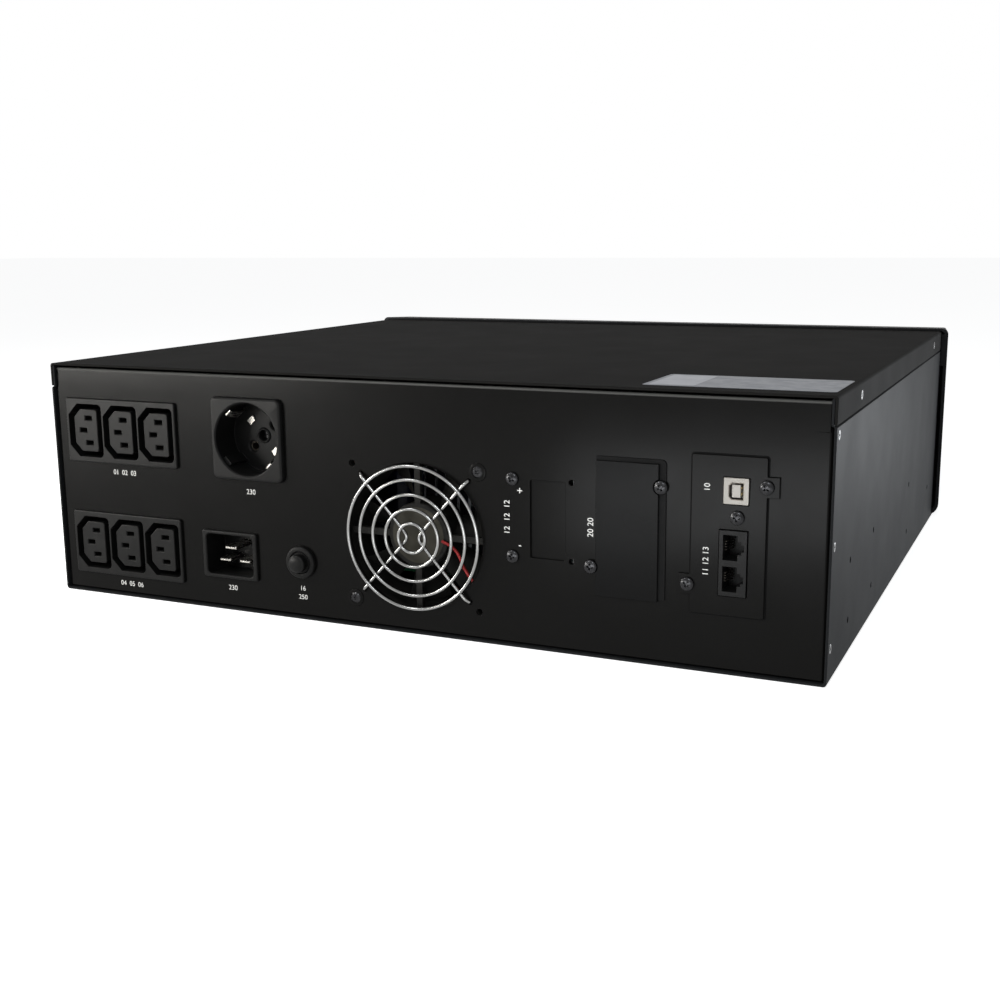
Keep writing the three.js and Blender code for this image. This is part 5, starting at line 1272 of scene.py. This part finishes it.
def drawer_door():
    """Front of the battery drawer, with two vent fields and a finger grip."""
    back = span("drawer_front", 1)[1]
    wide, tall = DOOR_SIZE

    def layer(inset, y):
        return rounded(wide - 2 * inset, tall - 2 * inset, [1.2] * 4, 3, DOOR), y
    body = loft([layer(0.8, BEZEL), layer(0.24, BEZEL + 0.24), layer(0, BEZEL + 0.8), layer(0, back)])
    hollow = bar(DOOR, wide - 4.8, tall - 4.8, (BEZEL_FACE, back + 1))
    cup = block((DOOR[0] - 48, DOOR[0] + 48), (BEZEL + 1, BEZEL + 19), (44, 76))
    whole = fuse(carve(body, [hollow]), [cup])
    mouth = loft([(rounded(92 + more, 22 + more, [4 + more / 2] * 4, 6, (DOOR[0], 57)), BEZEL + deep)
                  for more, deep in ((2.6, -0.3), (0, 1), (0, 17))])
    under = block((DOOR[0] - 45.9, DOOR[0] + 45.9), (BEZEL + 3.2, BEZEL + 16.9), (47, 74))
    cutters = [fuse(mouth, [under])]
    for side in (-1, 1):
        x = DOOR[0] + side * (wide / 2 - 46)
        cutters.append(vent_slots(x, 62, [22 + 9 * row for row in range(7)]))
        cutters.append(groove(72, 70, 5, (x, 49)))
    piece(carve(whole, cutters), "drawer_door", DRAWER, FRONT_PLASTIC, ("drawer_front",),
          0.25)


# ---------------------------------------------------------------- drawer and inside


def battery(node):
    """Sealed battery with a lid line, vent covers and terminal tabs."""
    low = [span(node, axis)[0] for axis in range(3)]
    high = [span(node, axis)[1] for axis in range(3)]
    top = high[2] - 5.8
    x = (low[0] + high[0]) / 2
    y = (low[1] + high[1]) / 2

    def layer(inset, z):
        wide, deep = (high[axis] - low[axis] - 2 * inset for axis in (0, 1))
        return rounded(wide, deep, [2.2 - inset] * 4, 5, (x, y)), z

    def vent(half, deep, reach, step):
        return block((x - half, x + half), (y + 8 * step - deep, y + 8 * step + deep), reach)
    body = loft([layer(0, low[2]), layer(0, top - 9), layer(0.5, top - 8.6), layer(0.5, top - 8),
                 layer(0, top - 7.6), layer(0, top - 1), layer(0.9, top)], "z")
    grooves = [carve(vent(20, 3, (top - 0.6, top + 1), step), [vent(19.3, 2.3, (top - 2, top + 2), step)])
               for step in (0, 2, 4)]
    whole = carve(body, grooves)
    piece(whole, node + "_case", DRAWER, BATTERY_PLASTIC, (node,), 0.25)
    tabs = []
    for side in (-1, 1):
        spot = x + side * ((high[0] - low[0]) / 2 - 10)
        base = block((spot - 2.5, spot + 2.5), (low[1] + 10, low[1] + 16), (top - 0.5, high[2]))
        tabs.append(base)
    piece(gather(tabs), node + "_terminals", DRAWER, NICKEL, (node,), 0.15)


def link_bar():
    """Insulated link over the terminals."""
    low, high = span("battery_link_bar", 0)
    run = span("battery_link_bar", 1)
    levels = span("battery_link_bar", 2)
    plate = rounded(high - low, run[1] - run[0], [3] * 4, 5, ((low + high) / 2, sum(run) / 2))
    piece(prism(plate, levels, "z"), "battery_link", DRAWER, RED, ("battery_link_bar",), 0.3)


def display_parts():
    """Lamps beside the display window, and caps and flanges of the push buttons."""
    for key in ("power", "select", "mute"):
        node, body = key + "_button", key + "_key"
        spot = centre_of(node)
        back = span(node, 1)[1]
        front = BEZEL - 0.8
        profile = [(0, front + 0.25), (2.4, front + 0.12), (3.9, front), (4.5, front + 0.12),
                   (5, front + 0.7), (5, BEZEL + 3.2), (6.4, BEZEL + 3.2), (6.4, BEZEL + 4.6),
                   (2, BEZEL + 4.6), (2, back), (0, back)]
        piece(lathe(profile, spot, 56), node + "_cap", body, BUTTON, (node,), 0.08)
    x, z = DISPLAY
    for name, offset, color in (("lamp_line", 24, (0.05, 0.8, 0.12)), ("lamp_battery", 0, (0.02, 0.05, 0.03)),
                                ("lamp_fault", -24, (0.12, 0.02, 0.015))):
        lens = lathe([(0, BEZEL - 0.5), (0.9, BEZEL - 0.35), (1.4, BEZEL), (1.4, BEZEL + 0.4),
                      (0, BEZEL + 0.4)], (x + offset, 62.6), 24)
        strength = 1.6 if name == "lamp_line" else 0.02
        piece(lens, name, CASE, glow(name, color, strength), edge=0)


PLAIN_NODES = {
    "front_frame": COAT, "display_board": BOARD, "battery_tray": ZINC, "drawer_receptacle": PLASTIC,
    "transformer_coil": COPPER, "transformer_core": CORE, "power_board": BOARD, "heat_sink_1": SINK,
    "heat_sink_2": SINK, "card_cage": ZINC, "comm_board": BOARD, "comm_bracket": ZINC,
}
SOFTENED_NODES = {
    "display_window": GLASS, "lcd_module": LCD, "drawer_plug": PLASTIC, "transformer_plate": ZINC,
    "bus_capacitor_1": SLEEVE, "bus_capacitor_2": SLEEVE,
}


def make_all():
    make_case()
    make_screws()
    for node in OUTLET_BANKS:
        outlet_bank(node)
    round_outlet()
    inlet()
    breaker()
    fan_frame()
    fan_rotor()
    piece(lead_path(0.75), "fan_lead_fine", CASE, RED, ("fan_lead",), 0)
    fan_guard()
    port_blank()
    slot_cover()
    comm_plate()
    usb_port()
    modem_jacks()
    make_labels()
    make_sticker()
    for place in range(1, 5):
        battery(f"battery_{place}")
    link_bar()
    display_parts()
    bezel()
    drawer_door()
    for node, material in PLAIN_NODES.items():
        dress(node, material)
    for node, material in SOFTENED_NODES.items():
        dress(node, material, 0.25)


make_all()

# ---------------------------------------------------------------- stage, light and camera

AMBIENT = 0.18                             # world's strength where it lights a surface
LIFT = 0.8                                 # what the paper adds so that it reads as white
SEEN_BY = ("Is Camera Ray", "Is Glossy Ray", "Is Transmission Ray")
AZIMUTH, ELEVATION, ROLL = (math.radians(angle) for angle in (-24.523, -11.551, -0.512))
CAMERA = Vector((-319.9, LIP + 571.0, 202.35)) * MM


def light_path(tree, names):
    """Node output that is 1 for any of these kinds of ray."""
    path = tree.nodes.new("ShaderNodeLightPath")
    found = path.outputs[names[0]]
    for name in names[1:]:
        either = tree.nodes.new("ShaderNodeMath")
        either.operation = "MAXIMUM"
        tree.links.new(found, either.inputs[0])
        tree.links.new(path.outputs[name], either.inputs[1])
        found = either.outputs[0]
    return found


def backdrop():
    """White to the camera and in reflections, and a plain soft light to everything else."""
    world = bpy.data.worlds.new("studio")
    world.use_nodes = True
    tree = world.node_tree
    tree.nodes.clear()
    white, soft = (tree.nodes.new("ShaderNodeBackground") for _ in range(2))
    white.inputs["Color"].default_value = (1, 1, 1, 1)
    soft.inputs["Color"].default_value = (0.96, 0.98, 1, 1)
    soft.inputs["Strength"].default_value = AMBIENT
    mix = tree.nodes.new("ShaderNodeMixShader")
    out = tree.nodes.new("ShaderNodeOutputWorld")
    tree.links.new(light_path(tree, SEEN_BY), mix.inputs[0])
    tree.links.new(soft.outputs[0], mix.inputs[1])
    tree.links.new(white.outputs[0], mix.inputs[2])
    tree.links.new(mix.outputs[0], out.inputs["Surface"])
    bpy.context.scene.world = world


def floor():
    """Pale paper just under the unit, which keeps its shadow and runs into the white backdrop."""
    made = prism([(-9000, -9000), (9000, -9000), (9000, 9000), (-9000, 9000)], (-20, -0.4), "z")
    made.name = made.data.name = "floor"
    made.data.transform(Matrix.Scale(MM, 4))
    look = Look("floor_paper", (0.9, 0.9, 0.9), 0.95, specular=0.0)
    look.tint(look.noise(300, 2), (0.88, 0.88, 0.885), 0.5)
    tree = look.tree
    lift = look.node("ShaderNodeEmission")
    lift.inputs["Strength"].default_value = LIFT
    none = look.node("ShaderNodeEmission")
    none.inputs["Strength"].default_value = 0
    pick = look.node("ShaderNodeMixShader")
    both = look.node("ShaderNodeAddShader")
    look.link(light_path(tree, SEEN_BY), pick.inputs[0])
    look.link(none.outputs[0], pick.inputs[1])
    look.link(lift.outputs[0], pick.inputs[2])
    look.link(look.shader.outputs["BSDF"], both.inputs[0])
    look.link(pick.outputs[0], both.inputs[1])
    look.link(both.outputs[0], tree.nodes["Material Output"].inputs["Surface"])
    made.data.materials.append(look.material)


def area_light(name, place, target, size, power, color=(1, 1, 1), spread=180):
    """Rectangular light at a place, aimed at a target, both in metres."""
    lamp = bpy.data.lights.new(name, "AREA")
    lamp.shape = "RECTANGLE"
    lamp.size, lamp.size_y = size
    lamp.energy = power
    lamp.color = color
    lamp.spread = math.radians(spread)
    holder = bpy.data.objects.new(name, lamp)
    bpy.context.scene.collection.objects.link(holder)
    holder.location = place
    aim = Vector(target) - Vector(place)
    holder.rotation_mode = "QUATERNION"
    holder.rotation_quaternion = aim.to_track_quat("-Z", "Y")
    holder.visible_camera = False


def camera():
    """Camera behind the unit, to the right of the socket panel and a little above it."""
    lens = bpy.data.cameras.new("camera")
    lens.lens = 47.19
    lens.sensor_width = 36
    lens.clip_start, lens.clip_end = 0.02, 50
    holder = bpy.data.objects.new("camera", lens)
    bpy.context.scene.collection.objects.link(holder)
    level = math.cos(ELEVATION)
    ahead = Vector((-math.sin(AZIMUTH) * level, -math.cos(AZIMUTH) * level, math.sin(ELEVATION)))
    turn = ahead.to_track_quat("-Z", "Y").to_matrix().to_4x4() @ Matrix.Rotation(ROLL, 4, "Z")
    holder.matrix_world = Matrix.Translation(CAMERA) @ turn
    bpy.context.scene.camera = holder


backdrop()
floor()
camera()
area_light("key", (0.7, 0.8, 0.11), (0.14, 0.21, 0.12), (0.5, 0.045), 5.4, (1.0, 0.98, 0.93))
area_light("fill", (-0.12, 0.47, 0.03), (-0.18, 0.21, 0.07), (0.24, 0.06), 0.15, (0.96, 0.98, 1.0), 110)
area_light("left", (1.15, 0.58, 0.5), (0, 0.2, 0.07), (0.25, 0.25), 8, (1.0, 0.97, 0.92))
area_light("high", (0.55, 0.85, 0.9), (0, 0.15, 0.1), (0.25, 0.2), 4)
area_light("cool", (-0.3, 1.2, 0.75), (-0.05, 0.2, 0.07), (0.25, 0.2), 4, (0.92, 0.96, 1.0))
area_light("side", (-0.64, -0.55, 0.03), (-0.22, 0.1, 0.08), (0.12, 0.05), 1.7, (0.92, 0.96, 1.0), 110)
bpy.context.scene.view_settings.view_transform = "Standard"
